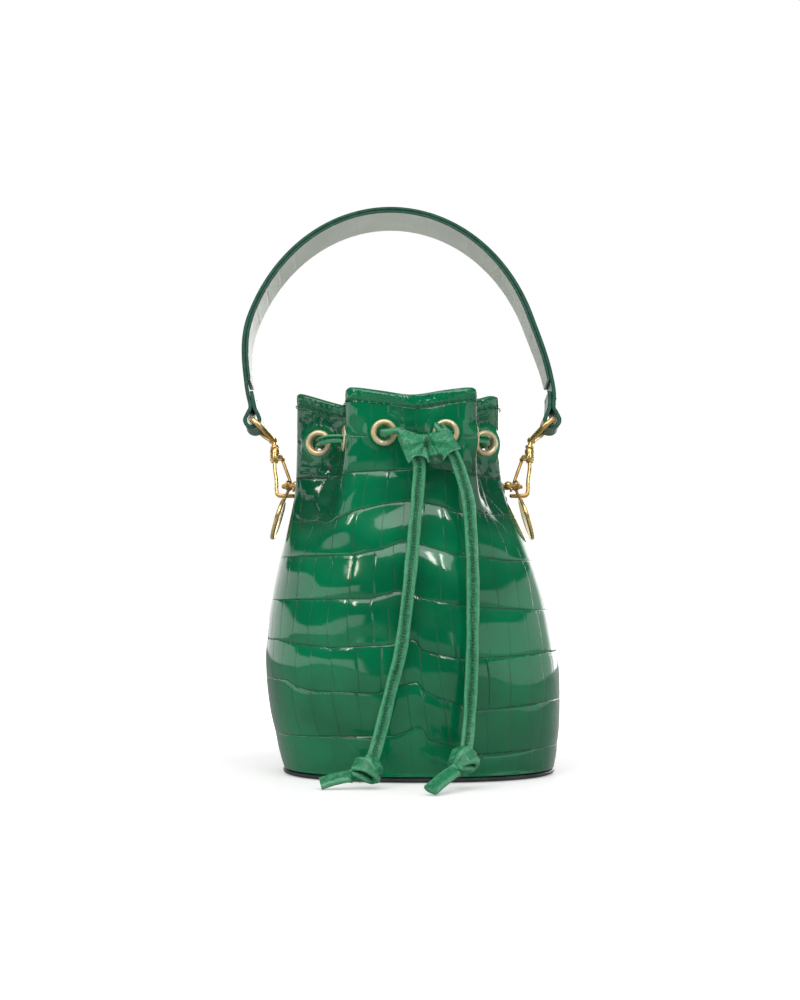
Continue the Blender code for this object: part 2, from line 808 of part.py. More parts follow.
def make_medallion(side):
    """A plain round plate with a small loop that rides on the side ring."""
    limb, away = ring_limb(side)
    centre = limb + away * RING_RADIUS
    angle = MEDALLION_PLACE
    out, forward = away * RING_RADIUS * math.cos(angle), RING_RADIUS * math.sin(angle)
    hang = Vector((centre + out, -forward, RING_LEVEL))
    along = Vector((away * math.sin(angle), math.cos(angle), 0))
    name = "medallion_" + side
    lean = MEDALLION_LEAN
    down = Vector((away * math.sin(lean), 0, -math.cos(lean)))
    face = Vector((math.cos(lean), 0, away * math.sin(lean)))
    middle = hang + down * (BAIL_RADIUS + MEDALLION_DROP + MEDALLION_RADIUS)
    half = MEDALLION_THICK / 2
    plate = turned_plate(name, middle, face, half)
    medallion = add_object(name, plate, GOLD, 0.2, 1.0)
    points = []
    upward = Vector((0, 0, 1))
    radial = along.cross(upward)
    for step in range(12):
        turn = 2 * math.pi * step / 12
        points.append(hang + BAIL_RADIUS * (math.cos(turn) * radial + math.sin(turn) * upward))
    loop = tube(name + "_loop", points, BAIL_WIRE, 6, closed=True)
    join(medallion, hidden_cutter(name + "_loop", loop))
    stem_top = hang + Vector((0, 0, -BAIL_RADIUS))
    stem_end = middle - down * (MEDALLION_RADIUS - 0.001)
    stem = rod(name + "_stem", stem_top, stem_end, 0.0007, 8)
    join(medallion, hidden_cutter(name + "_stem", stem))
    return medallion


def turned_plate(name, middle, face, half):
    """A round plate with softened edges, as a filled turned profile."""
    mesh = bpy.data.meshes.new(name)
    shape = bmesh.new()
    frame = face.to_track_quat("Z", "Y").to_matrix().to_4x4()
    bmesh.ops.create_cone(
        shape,
        cap_ends=True,
        segments=22,
        radius1=MEDALLION_RADIUS,
        radius2=MEDALLION_RADIUS,
        depth=2 * half,
        matrix=Matrix.Translation(middle) @ frame,
    )
    rims = [edge for edge in shape.edges if edge.calc_face_angle(0) > 1]
    bmesh.ops.bevel(shape, geom=rims, offset=0.0005, segments=1, affect="EDGES")
    shape.to_mesh(mesh)
    shape.free()
    mesh.shade_smooth()
    mesh.set_sharp_from_angle(angle=math.radians(30))
    return mesh


def handle_middle():
    """The middle between the two rings, about which the handle is drawn."""
    left, _ = ring_limb("left")
    right, _ = ring_limb("right")
    return (left + right) / 2


def leaned(across, width, height):
    """A point of the handle: across from its middle, along its width, above the ring line."""
    y = width * math.cos(HANDLE_LEAN) + height * math.sin(HANDLE_LEAN)
    z = height * math.cos(HANDLE_LEAN) - width * math.sin(HANDLE_LEAN)
    return (handle_middle() + across, y, RING_LEVEL + z)


def strap_half_path():
    """The strap's middle line from the top centre down the right side and round its fold."""
    path = []
    for step in range(17):
        angle = math.radians(90 - 90 * step / 16)
        path.append((ARCH_HALF * math.cos(angle), ARCH_FOOT + ARCH_RISE * math.sin(angle)))
    path.append((FOLD_OUT + 0.0020, 0.0455))
    turn_out = FOLD_RADIUS + STRAP / 2
    path.append((FOLD_OUT + turn_out * 0.85, FOLD_LEVEL + turn_out * 0.75))
    for step in range(7):
        angle = math.radians(15 - 190 * step / 6)
        path.append((FOLD_OUT + turn_out * math.cos(angle), FOLD_LEVEL + turn_out * math.sin(angle)))
    path.append((FOLD_OUT - turn_out * 0.45, FOLD_LEVEL + turn_out * 1.35))
    inner = STRAP + GAP
    path.append((FOLD_OUT + 0.0012 - inner, 0.0410))
    path.append((FOLD_OUT + 0.0022 - inner, FLAP_TOP))
    return path


def band(name, path, thickness, width):
    """A flat strap along a path in the handle's plane, as one closed solid."""
    line = np.array(path, float)
    ahead = np.gradient(line, axis=0)
    ahead /= np.linalg.norm(ahead, axis=1)[:, None]
    aside = np.stack([-ahead[:, 1], ahead[:, 0]], axis=1)
    points = []
    for place, across in zip(line, aside):
        for side, edge in ((1, 1), (-1, 1), (-1, -1), (1, -1)):
            corner = place + across * side * thickness / 2
            sway = SWAY * smoothstep(SWAY_START, SWAY_END, corner[1])
            points.append(leaned(corner[0] - sway, edge * width / 2, corner[1]))
    faces = []
    for index in range(len(line) - 1):
        for corner in range(4):
            follow = (corner + 1) % 4
            faces.append((
                4 * index + corner,
                4 * index + follow,
                4 * index + 4 + follow,
                4 * index + 4 + corner,
            ))
    faces.append((0, 1, 2, 3))
    faces.append(tuple(range(4 * len(line) - 4, 4 * len(line))))
    return mesh_of(name, points, faces)


def make_handle():
    half = strap_half_path()
    path = [(-x, z) for x, z in reversed(half[1:])] + half
    strap = band("handle_strap", path, STRAP, HANDLE_WIDTH)
    add_object("handle_strap", strap, EDGE_GREEN, 0.35)
    inset = STRAP / 2 + GAP + STRIP / 2
    strip = []
    for step in range(33):
        angle = math.radians(180 - 180 * step / 32)
        across = (ARCH_HALF - inset) * math.cos(angle)
        strip.append((across, ARCH_FOOT + (ARCH_RISE - inset) * math.sin(angle)))
    lining = band("handle_lining", strip, STRIP, HANDLE_WIDTH - LINING_INSET)
    add_object("handle_lining", lining, SAGE, 0.6)


def hook_places(side):
    """Key points of a hook in the handle's plane, as (across, height)."""
    limb, away = ring_limb(side)
    outer = abs(limb + away * 2 * RING_RADIUS - handle_middle())
    leg = outer + HOOK_OUT
    return leg, away


def part_way(start, end, share):
    return start[0] + (end[0] - start[0]) * share, start[1] + (end[1] - start[1]) * share


def make_eye(side):
    """The swivel eye: a bar through the strap's fold, a loop down to a collar, and its stud."""
    leg, away = hook_places(side)
    half = HANDLE_WIDTH / 2 + 0.0018
    bar = (FOLD_OUT, FOLD_LEVEL)
    collar = (leg + HOOK_LEAN + 0.0014, EYE_COLLAR)
    points = []
    for across, width, height in (
        (bar[0], -half + 0.0010, bar[1]),
        (bar[0], 0.0, bar[1]),
        (bar[0], half - 0.0010, bar[1]),
        (bar[0] - 0.0008, half, bar[1] - 0.0007),
        (part_way(bar, collar, 0.48)[0], half, part_way(bar, collar, 0.48)[1]),
        (part_way(bar, collar, 0.78)[0], half * 0.6, part_way(bar, collar, 0.78)[1]),
        (collar[0], 0.0020, collar[1]),
        (collar[0], -0.0020, collar[1]),
        (part_way(bar, collar, 0.78)[0], -half * 0.6, part_way(bar, collar, 0.78)[1]),
        (part_way(bar, collar, 0.48)[0], -half, part_way(bar, collar, 0.48)[1]),
        (bar[0] - 0.0008, -half, bar[1] - 0.0007),
    ):
        points.append(leaned(away * across, width, height))
    name = "swivel_eye_" + side
    eye = add_object(name, tube(name, points, EYE_WIRE, 8, closed=True), GOLD, 0.2, 1.0)
    top = leaned(away * collar[0], 0, collar[1] + 0.0004)
    bottom = leaned(away * (leg + HOOK_LEAN), 0, HOOK_BLOCK + 0.0036)
    join(eye, hidden_cutter(name + "_stud", rod(name + "_stud", top, bottom, 0.0013, 10)))
    head_top = leaned(away * (leg + HOOK_LEAN), 0, HOOK_BLOCK + 0.0044)
    head_end = leaned(away * (leg + HOOK_LEAN), 0, HOOK_BLOCK + 0.0029)
    join(eye, hidden_cutter(name + "_head", rod(name + "_head", head_top, head_end, 0.0022, 10)))
    return eye


def make_hook(side):
    """Snap hook: a block with a leg and a foot bar, which the sprung gate closes."""
    leg, away = hook_places(side)
    tip = leg - HOOK_TIP
    route = [
        (leg + HOOK_LEAN, HOOK_BLOCK),
        (leg + HOOK_LEAN, 0.0090),
        (leg + 0.0003, 0.0030),
        (leg, -HOOK_DROP + 0.0022),
        (leg - 0.0008, -HOOK_DROP + 0.0005),
        (leg - 0.0024, -HOOK_DROP),
        (tip, -HOOK_DROP),
    ]
    points = [leaned(away * across, 0, height) for across, height in route]
    name = "hook_" + side
    hook = add_object(name, tube(name, points, HOOK_WIRE, 8), GOLD, 0.2, 1.0)
    low = leaned(away * (leg + HOOK_LEAN), 0, HOOK_BLOCK - 0.0045)
    high = leaned(away * (leg + HOOK_LEAN), 0, HOOK_BLOCK + 0.0025)
    block = rod(name + "_block", low, high, 0.0024, 12)
    join(hook, hidden_cutter(name + "_block", block))
    near, far = away * (leg - 0.0009), away * (leg - 0.0060)
    slot = box_between(name + "_slot", near, far, 0.0011, 0.0070, HOOK_BLOCK - 0.0005)
    cut(hook, hidden_cutter(name + "_slot", slot))
    return hook


def box_between(name, near, far, half, low, high):
    """A box in the handle's frame, between two places across and two heights."""
    points = []
    for across in (near, far):
        for width in (-half, half):
            points += [leaned(across, width, low), leaned(across, width, high)]
    faces = ((0, 1, 3, 2), (4, 6, 7, 5), (0, 4, 5, 1), (2, 3, 7, 6), (0, 2, 6, 4), (1, 5, 7, 3))
    return mesh_of(name, points, faces, smooth=False)


def make_gate(side):
    leg, away = hook_places(side)
    start = (leg - 0.0022, HOOK_BLOCK - 0.0024)
    end = (leg - GATE_REACH, -HOOK_DROP + GATE_LIFT)
    middle = ((start[0] + end[0]) / 2, (start[1] + end[1]) / 2)
    points = [leaned(away * across, 0, height) for across, height in (start, middle, end)]
    name = "gate_" + side
    return add_object(name, tube(name, points, GATE_RADIUS, 8), GOLD, 0.2, 1.0)


def main():
    clear_scene()
    front = make_panel("front_panel", -0.25)
    back = make_panel("back_panel", 0.25)
    lining = make_lining()
    make_base()
    make_eyelets((front, back))
    cut_slots((front, back, lining))
    make_drawstring()
    make_tail("tail_left", TAIL_LEFT_ROUTE)
    make_tail("tail_right", TAIL_RIGHT_ROUTE)
    make_knot("knot_left", KNOT_LEFT, KNOT_LEFT_TIP, TAIL_LEFT_ROUTE)
    make_knot("knot_right", KNOT_RIGHT, KNOT_RIGHT_TIP, TAIL_RIGHT_ROUTE)
    make_slider()
    make_handle()
    for side in ("left", "right"):
        make_ring(side)
        make_anchor(side)
        make_medallion(side)
        make_eye(side)
        make_hook(side)
        make_gate(side)


main()
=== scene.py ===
"""The looks of a small drawstring bucket bag: glossy crocodile-embossed leather and gold hardware.

Metres, +Z up, the front towards -Y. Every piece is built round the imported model's own frame.
"""

import math

import bmesh
import bpy
import numpy as np
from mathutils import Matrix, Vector


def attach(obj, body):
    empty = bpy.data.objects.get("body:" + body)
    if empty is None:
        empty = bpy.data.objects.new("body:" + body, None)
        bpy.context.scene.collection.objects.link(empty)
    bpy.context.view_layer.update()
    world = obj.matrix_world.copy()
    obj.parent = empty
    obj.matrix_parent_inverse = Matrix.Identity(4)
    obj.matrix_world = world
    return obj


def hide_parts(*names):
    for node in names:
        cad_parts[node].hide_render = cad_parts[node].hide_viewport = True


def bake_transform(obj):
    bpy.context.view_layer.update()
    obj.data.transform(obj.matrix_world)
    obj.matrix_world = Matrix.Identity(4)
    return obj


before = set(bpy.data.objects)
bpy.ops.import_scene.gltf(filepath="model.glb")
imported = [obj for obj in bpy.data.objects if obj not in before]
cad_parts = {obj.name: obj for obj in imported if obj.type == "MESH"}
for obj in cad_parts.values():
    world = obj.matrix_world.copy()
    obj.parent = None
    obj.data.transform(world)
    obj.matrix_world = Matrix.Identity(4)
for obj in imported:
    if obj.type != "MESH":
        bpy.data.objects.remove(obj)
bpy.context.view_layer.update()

# The body's outer surface, as in the model: (height, half width, half depth, middle in x)
BODY_PROFILE = (
    (0.0000, 0.0630, 0.0500, 0.0000),
    (0.0040, 0.0652, 0.0520, -0.0003),
    (0.0160, 0.0676, 0.0545, -0.0010),
    (0.0310, 0.0698, 0.0565, -0.0021),
    (0.0450, 0.0707, 0.0575, -0.0031),
    (0.0600, 0.0700, 0.0570, -0.0038),
    (0.0800, 0.0671, 0.0550, -0.0046),
    (0.0990, 0.0630, 0.0520, -0.0054),
    (0.1200, 0.0595, 0.0490, -0.0068),
    (0.1380, 0.0550, 0.0465, -0.0082),
    (0.1580, 0.0515, 0.0445, -0.0096),
    (0.1850, 0.0480, 0.0430, -0.0110),
)
OVAL_POWER = 2.25
GATHER_START = 0.095
GATHER_END = 0.162
NECK_MIDDLE_X = -0.0082
# Front half of the gathered neck from above, as (x, y, rim height)
NECK_LEFT = (
    (-0.0040, -0.0418, 0.1767),
    (-0.0175, -0.0438, 0.1782),
    (-0.0295, -0.0437, 0.1797),
    (-0.0342, -0.0405, 0.1795),
    (-0.0350, -0.0345, 0.1760),
    (-0.0362, -0.0283, 0.1736),
    (-0.0410, -0.0248, 0.1750),
    (-0.0490, -0.0234, 0.1775),
    (-0.0562, -0.0205, 0.1797),
    (-0.0587, -0.0160, 0.1797),
    (-0.0556, -0.0085, 0.1780),
    (-0.0538, 0.0000, 0.1770),
)
NECK_RIGHT = (
    (-0.0040, -0.0418, 0.1767),
    (0.0110, -0.0436, 0.1785),
    (0.0215, -0.0436, 0.1797),
    (0.0262, -0.0405, 0.1795),
    (0.0258, -0.0345, 0.1772),
    (0.0250, -0.0285, 0.1762),
    (0.0282, -0.0244, 0.1770),
    (0.0330, -0.0222, 0.1785),
    (0.0372, -0.0180, 0.1790),
    (0.0384, -0.0130, 0.1785),
    (0.0378, -0.0065, 0.1778),
    (0.0374, 0.0000, 0.1770),
)
LEATHER = 0.0018
LINING = 0.0008
LINING_GAP = 0.0008
LINING_TOP = 0.1475
PANEL_BOTTOM = 0.0045
LEATHER_BOTTOM = 0.0026
BOARD_HEIGHT = 0.0020
RIM_LEVEL = 0.1785
GAP = 0.0003

# Eyelets, as shares of a quarter of the neck from its centre to its side
EYELET_LEFT = (0.145, 0.435, 0.645)
EYELET_RIGHT = (0.205, 0.475, 0.665)
EYELET_LEVELS = (0.1593, 0.1575, 0.1564)
EYELET_RADIUS = 0.0062
EYELET_HOLE = 0.0036
BARREL_RADIUS = 0.0042
WASHER_RADIUS = 0.0052
WASHER_THICK = 0.0007
EYELET_CROWN = 0.0017
EYELET_FLAT = 0.0007
FLAT_NEAR = 0.0072
FLAT_FAR = 0.0105

# Drawstring: the two hanging ends follow the model's own routes
LACE_RADIUS = 0.0018
LACE_OUT = 0.0042
LACE_IN = 0.0046
CORD_WIDTH = 0.0058
CORD_THICKNESS = 0.0042
TUNNEL_LEFT = ((-0.0088, -0.0518, 0.1585), (-0.0004, -0.0518, 0.1440))
TUNNEL_RIGHT = ((0.0095, -0.0518, 0.1590), (0.0158, -0.0518, 0.1466))
TAIL_LEFT_ROUTE = (
    (-0.0075, -0.0518, 0.1562),
    (-0.0040, -0.0518, 0.1502),
    (-0.0006, -0.0519, 0.1443),
    (-0.0012, -0.0526, 0.1310),
    (-0.0026, -0.0545, 0.1160),
    (-0.0038, -0.0568, 0.1030),
    (-0.0057, -0.0601, 0.0845),
    (-0.0089, -0.0617, 0.0600),
    (-0.0129, -0.0623, 0.0440),
    (-0.0176, -0.0643, 0.0250),
    (-0.0208, -0.0678, 0.0140),
)
TAIL_RIGHT_ROUTE = (
    (0.0104, -0.0518, 0.1572),
    (0.0130, -0.0518, 0.1521),
    (0.0158, -0.0519, 0.1466),
    (0.0192, -0.0524, 0.1370),
    (0.0216, -0.0536, 0.1270),
    (0.0227, -0.0556, 0.1130),
    (0.0234, -0.0590, 0.0900),
    (0.0230, -0.0616, 0.0640),
    (0.0225, -0.0624, 0.0490),
    (0.0216, -0.0640, 0.0330),
    (0.0203, -0.0680, 0.0205),
)
KNOT_LEFT = (-0.0236, -0.0718, 0.0078)
KNOT_LEFT_TIP = (-0.0440, -0.0735, 0.0024)
KNOT_RIGHT = (0.0184, -0.0735, 0.0112)
KNOT_RIGHT_TIP = (0.0036, -0.0960, 0.0024)
KNOT_RADIUS = 0.0074

# Side rings, medallions, handle and hooks
RING_LEVEL = 0.1375
RING_RADIUS = 0.0075
RING_WIRE = 0.0011
RING_INSIDE = 0.0055
SLIT_WIDTH = 0.0178
SLIT_HEIGHT = 0.0040
MEDALLION_RADIUS = 0.0105
MEDALLION_THICK = 0.0020
MEDALLION_DROP = 0.0042
MEDALLION_LEAN = math.radians(17)
MEDALLION_PLACE = math.radians(52)
BALL_PLACE = math.radians(84)
BALL_RADIUS = 0.0021
BAIL_RADIUS = 0.0021
BAIL_WIRE = 0.0006
HANDLE_LEAN = math.radians(15)
HANDLE_WIDTH = 0.0200
STRAP = 0.0017
STRIP = 0.0012
# The strap's embossed cells, and its stitch line out from its middle
STRAP_CELL = 0.0125
STITCH_LINE = 0.0078
STITCHES_PER_METRE = 340.0
ARCH_HALF = 0.0757
ARCH_RISE = 0.0940
ARCH_FOOT = 0.0540
TWIST_LEFT = 0.35
TWIST_START = 0.0400
TWIST_END = 0.0800
SWAY = 0.0060
SWAY_START = 0.0360
SWAY_END = 0.0880
FOLD_OUT = 0.0735
FOLD_LEVEL = 0.0330
FOLD_RADIUS = 0.0027
FLAP_TOP = 0.0480
HOOK_WIRE = 0.0010
HOOK_OUT = 0.0033
HOOK_DROP = 0.0048
HOOK_BLOCK = 0.0168
HOOK_LEAN = 0.0014
HOOK_TIP = 0.0085
GATE_REACH = 0.0084
GATE_LIFT = 0.0022
EYE_COLLAR = 0.0245
EYE_WIRE = 0.0011

# Embossed rows of the front, from the lowest to the rim's stitch line, as (x, level) along each line
FRONT_ROWS = (
    (
        (-0.067, 0.0195), (-0.014, 0.0212), (-0.001, 0.0258), (0.001, 0.0195), (0.025, 0.0124),
        (0.062, 0.0142),
    ),
    (
        (-0.067, 0.0457), (-0.062, 0.0455), (-0.057, 0.0424), (-0.049, 0.0409), (-0.020, 0.0403),
        (-0.010, 0.0436), (-0.0015, 0.0457), (0.0006, 0.0417), (0.009, 0.0375), (0.017, 0.0354),
        (0.0245, 0.0324), (0.040, 0.0336), (0.060, 0.0357),
    ),
    (
        (-0.067, 0.0638), (-0.058, 0.0624), (-0.041, 0.0606), (-0.014, 0.0620), (-0.002, 0.0647),
        (0.0006, 0.0600), (0.0105, 0.0573), (0.0195, 0.0558), (0.061, 0.0579),
    ),
    (
        (-0.067, 0.0825), (-0.023, 0.0827), (-0.0095, 0.0863), (-0.001, 0.0850), (0.001, 0.0832),
        (0.018, 0.0804), (0.027, 0.0792), (0.057, 0.0777),
    ),
    (
        (-0.060, 0.1027), (-0.032, 0.1027), (-0.018, 0.1052), (-0.007, 0.1087), (0.0006, 0.1084),
        (0.020, 0.1034), (0.027, 0.1027), (0.047, 0.1008),
    ),
    (
        (-0.058, 0.1192), (-0.049, 0.1175), (-0.040, 0.1207), (-0.033, 0.1235), (-0.018, 0.1264),
        (-0.0035, 0.1278), (0.006, 0.1273), (0.019, 0.1254), (0.025, 0.1228), (0.035, 0.1220),
    ),
    (
        (-0.058, 0.1400), (-0.030, 0.1413), (-0.005, 0.1426), (0.010, 0.1430), (0.030, 0.1410),
        (0.050, 0.1400),
    ),
    (
        (-0.058, 0.1570), (-0.030, 0.1575), (0.000, 0.1598), (0.018, 0.1566), (0.029, 0.1566),
        (0.050, 0.1580),
    ),
    ((-0.058, 0.1728), (-0.020, 0.1733), (0.010, 0.1722), (0.050, 0.1730)),
)
# Upright creases between those rows, as x, from the lowest band to the band under the rim
FRONT_CREASES = (
    (-0.056, -0.044, -0.032, -0.019, -0.007, 0.004),
    (
        -0.0595, -0.0505, -0.0403, -0.0290, -0.0175, -0.0062, 0.0012, 0.0105, 0.0195, 0.0290,
        0.0406, 0.0496, 0.0560,
    ),
    (
        -0.0635, -0.0570, -0.0496, -0.0400, -0.0285, -0.0180, -0.0075, 0.0004, 0.0087, 0.0196,
        0.0303, 0.0406, 0.0502,
    ),
    (
        -0.0660, -0.0595, -0.0514, -0.0424, -0.0330, -0.0220, -0.0143, -0.0003, 0.0085, 0.0164,
        0.0320, 0.0420, 0.0514,
    ),
    (-0.0600, -0.0520, -0.0430, -0.0320, -0.0210, -0.0110, -0.0003, 0.0120, 0.0260, 0.0395, 0.0500),
    (-0.0520, -0.0435, -0.0330, -0.0179, -0.0060, 0.0060, 0.0180, 0.0265, 0.0345, 0.0420),
    (-0.0500, -0.0400, -0.0300, -0.0168, -0.0040, 0.0090, 0.0215, 0.0300, 0.0380),
    (-0.0500, -0.0400, -0.0260, -0.0140, -0.0010, 0.0085, 0.0190, 0.0300, 0.0380),
    (-0.0480, -0.0380, -0.0290, -0.0190, -0.0090, 0.0005, 0.0100, 0.0200, 0.0300),
    (-0.0480, -0.0380, -0.0290, -0.0190, -0.0090, 0.0005, 0.0100, 0.0200, 0.0300),
)
BACK_ROW_LEVELS = (0.0200, 0.0398, 0.0606, 0.0822, 0.1030, 0.1235, 0.1415, 0.1575, 0.1728)
CELL_PITCH = 0.0112
REFERENCE_LEVEL = 0.050

# How deep the emboss goes
ROW_GROOVE = 0.00022
CREASE_GROOVE = 0.00010
ROW_BULGE = 0.00078
CELL_BULGE = 0.00009
CELL_LEAN = 0.00016
CELL_STEP = 0.00005
SWELL = 0.00030
RIM_CREASES = 0.00012
SCALE_STEP = 0.00018
LOBE_BULGE = 0.00034
RELIEF_DEPTH = 0.00085
MEDALLION_DIP = 0.00035
# The gap at a side seam, as a share of a turn on each panel
SEAM_INSET = 0.00055
RIM_SCALE = 0.0056
WING_SCALE = 0.0110
RIM_TILT = 0.20
WING_TILT = 0.20
SCALE_TABLE = 96


# ---------------------------------------------------------------- lines and meshes

def smoothstep(low, high, value):
    share = np.clip((value - low) / (high - low), 0.0, 1.0)
    return share * share * (3 - 2 * share)


def spline(points, per_span):
    """Points along a smooth curve through the given ones."""
    keys = np.array(points, float)
    keys = np.vstack([2 * keys[0] - keys[1], keys, 2 * keys[-1] - keys[-2]])
    found = []
    for before, start, end, after in zip(keys, keys[1:], keys[2:], keys[3:]):
        for step in range(per_span):
            t = step / per_span
            pull = (end - before) * t + (2 * before - 5 * start + 4 * end - after) * t * t
            found.append(start + 0.5 * (pull + (3 * start - before - 3 * end + after) * t ** 3))
    found.append(keys[-2])
    return np.array(found)


def closed_spline(points, per_span):
    keys = np.array(points, float)
    line = spline(np.vstack([keys[-2:], keys, keys[:3]]), per_span)
    return line[2 * per_span:(2 + len(keys)) * per_span]


def arc(middle, across, rise, first, last, steps):
    """Points of an ellipse in a plane, from one angle to another in degrees."""
    angles = [math.radians(first + (last - first) * step / steps) for step in range(steps + 1)]
    return [(middle[0] + across * math.cos(a), middle[1] + rise * math.sin(a)) for a in angles]


def run_of(points):
    steps = np.linalg.norm(np.diff(points, axis=0), axis=1)
    return np.concatenate([[0], np.cumsum(steps)])


def sampled(at, run, points):
    """Points of a line at given distances along it."""
    return np.stack([np.interp(at, run, column) for column in points.T], axis=1)


def resample(points, spacing):
    """The same line with points at an even distance along it."""
    run = run_of(points)
    count = max(2, int(round(run[-1] / spacing)) + 1)
    return sampled(np.linspace(0, run[-1], count), run, points)


def unit(vectors):
    vectors = np.asarray(vectors, float)
    return vectors / np.linalg.norm(vectors, axis=-1, keepdims=True)


def grid_faces(rows, columns, wrap_rows=False, wrap_columns=False):
    """Quads over a grid of points stored row by row."""
    row = np.arange(rows if wrap_rows else rows - 1)[:, None]
    column = np.arange(columns if wrap_columns else columns - 1)[None, :]
    above, beside = (row + 1) % rows, (column + 1) % columns
    corners = (row * columns + column, row * columns + beside)
    corners += (above * columns + beside, above * columns + column)
    return np.stack(corners, axis=-1).reshape(-1, 4)


def tube_faces(rings, sides):
    """Quads round a tube stored ring by ring, with both of its ends closed."""
    faces = grid_faces(rings, sides, wrap_columns=True).tolist()
    return faces + [list(range(sides)), list(range((rings - 1) * sides, rings * sides))]


def mesh_from(name, points, faces, attributes=None, sharp_angle=None):
    """A smooth-shaded mesh with its faces turned outwards and named values on its points."""
    mesh = bpy.data.meshes.new(name)
    mesh.from_pydata(np.asarray(points, float).tolist(), [], [list(map(int, face)) for face in faces])
    shape = bmesh.new()
    shape.from_mesh(mesh)
    bmesh.ops.recalc_face_normals(shape, faces=shape.faces)
    shape.to_mesh(mesh)
    shape.free()
    for key, values in (attributes or {}).items():
        layer = mesh.attributes.new(key, "FLOAT", "POINT")
        layer.data.foreach_set("value", np.asarray(values, np.float32))
    mesh.shade_smooth()
    if sharp_angle:
        mesh.set_sharp_from_angle(angle=math.radians(sharp_angle))
    return mesh


def joined(name, parts, sharp_angle=40):
    """Several (points, faces) shapes in one mesh."""
    points, faces, start = [], [], 0
    for part_points, part_faces in parts:
        points.append(np.asarray(part_points, float))
        faces += [[int(corner) + start for corner in face] for face in part_faces]
        start += len(part_points)
    return mesh_from(name, np.concatenate(points), faces, sharp_angle=sharp_angle)


def tangents(points, closed=False):
    if closed:
        return unit(np.roll(points, -1, axis=0) - np.roll(points, 1, axis=0))
    return unit(np.gradient(points, axis=0))


def section_tube(points, section, facing, closed=False):
    """A section swept along a line. section is one (across, outward) outline, or one for each point;
    facing is the way the section's outward axis looks."""
    points = np.asarray(points, float)
    ahead = tangents(points, closed)
    facing = np.broadcast_to(np.asarray(facing, float), points.shape)
    outward_axis = unit(facing - ahead * np.sum(facing * ahead, axis=1, keepdims=True))
    across = np.cross(ahead, outward_axis)
    section = np.asarray(section, float)
    if section.ndim == 2:
        section = np.broadcast_to(section, (len(points),) + section.shape)
    rings = points[:, None] + section[..., :1] * across[:, None]
    rings = rings + section[..., 1:] * outward_axis[:, None]
    rows, sides = len(points), section.shape[1]
    if closed:
        return rings.reshape(-1, 3), grid_faces(rows, sides, True, True).tolist()
    return rings.reshape(-1, 3), tube_faces(rows, sides)


def round_section(radius, sides=16):
    angle = np.linspace(0, 2 * math.pi, sides, endpoint=False)
    return np.stack([radius * np.cos(angle), radius * np.sin(angle)], axis=1)


def free_facing(points):
    """Any direction that isn't along the line, for round sections."""
    spread = np.ptp(points, axis=0)
    return np.eye(3)[int(np.argmin(spread))] + 0.01


def wire(points, radius, closed=False, sides=16):
    """A round wire; open ones get domed ends."""
    points = np.asarray(points, float)
    line = closed_spline(points, 8) if closed else spline(points, 8)
    section = np.broadcast_to(round_section(radius, sides), (len(line), sides, 2)).copy()
    if not closed:
        line, section = domed(line, section, radius)
    return section_tube(line, section, free_facing(line), closed)


def domed(line, section, radius):
    """The line and its sections with a half-round end added at both ends."""
    shares = np.sin(np.linspace(0.15, math.pi / 2, 4))
    head, tail = unit(line[0] - line[1]), unit(line[-1] - line[-2])
    reach = radius * np.sqrt(np.maximum(1 - shares ** 2, 0))
    start = [line[0] + head * step for step in reach]
    finish = [line[-1] + tail * step for step in reach[::-1]]
    start_section = [section[0] * share for share in shares]
    end_section = [section[-1] * share for share in shares[::-1]]
    line = np.vstack([start, line[1:-1], finish])
    section = np.concatenate([start_section, section[1:-1], end_section])
    return line, section


def lathe(profile, at, axis, segments=40):
    """A profile of (radius, height) turned about an axis. With no end on the axis, it is a ring."""
    turn = np.array(Vector(axis).to_track_quat("Z", "Y").to_matrix())
    angle = np.linspace(0, 2 * math.pi, segments, endpoint=False)
    profile = np.asarray(profile, float)
    local = np.stack([
        profile[None, :, 0] * np.cos(angle)[:, None],
        profile[None, :, 0] * np.sin(angle)[:, None],
        np.broadcast_to(profile[None, :, 1], (segments, len(profile))),
    ], axis=-1)
    points = local.reshape(-1, 3) @ turn.T + np.asarray(at, float)
    solid = profile[0, 0] < 1e-6
    count = len(profile)
    faces = grid_faces(segments, count, wrap_rows=True, wrap_columns=not solid)
    if not solid:
        return points, faces.tolist()
    rings = []
    for face in faces.tolist():
        ends = [corner % count for corner in face]
        if ends[0] == 0:
            rings.append([0, face[1], face[2]])
        elif ends[1] == count - 1:
            rings.append([face[0], count - 1, face[3]])
        else:
            rings.append(face)
    return points, rings


def rounded(profile, radius, steps=4):
    """An outline of (radius, height) corners with each corner rounded."""
    keys = np.asarray(profile, float)
    count = len(keys)
    found = []
    for index in range(count):
        here, before, after = keys[index], keys[index - 1], keys[(index + 1) % count]
        back, ahead = before - here, after - here
        size = min(radius, 0.45 * np.linalg.norm(back), 0.45 * np.linalg.norm(ahead))
        start, end = here + unit(back) * size, here + unit(ahead) * size
        for t in np.linspace(0, 1, steps):
            found.append((1 - t) ** 2 * start + 2 * t * (1 - t) * here + t * t * end)
    return np.array(found)


# ---------------------------------------------------------------- the body's surface

PROFILE_LINE = spline(BODY_PROFILE, 12)


def neck_quarter(keys):
    """The front quarter of the neck's outline with its share of the length from 0 to 1."""
    mirrored_start = (2 * keys[0][0] - keys[1][0], keys[1][1], keys[1][2])
    mirrored_end = np.array(keys[-2]) * (1, -1, 1)
    line = spline([mirrored_start, *keys, mirrored_end], 10)[10:-10]
    run = run_of(line[:, :2])
    return run / run[-1], line


LEFT_QUARTER = neck_quarter(NECK_LEFT)
RIGHT_QUARTER = neck_quarter(NECK_RIGHT)


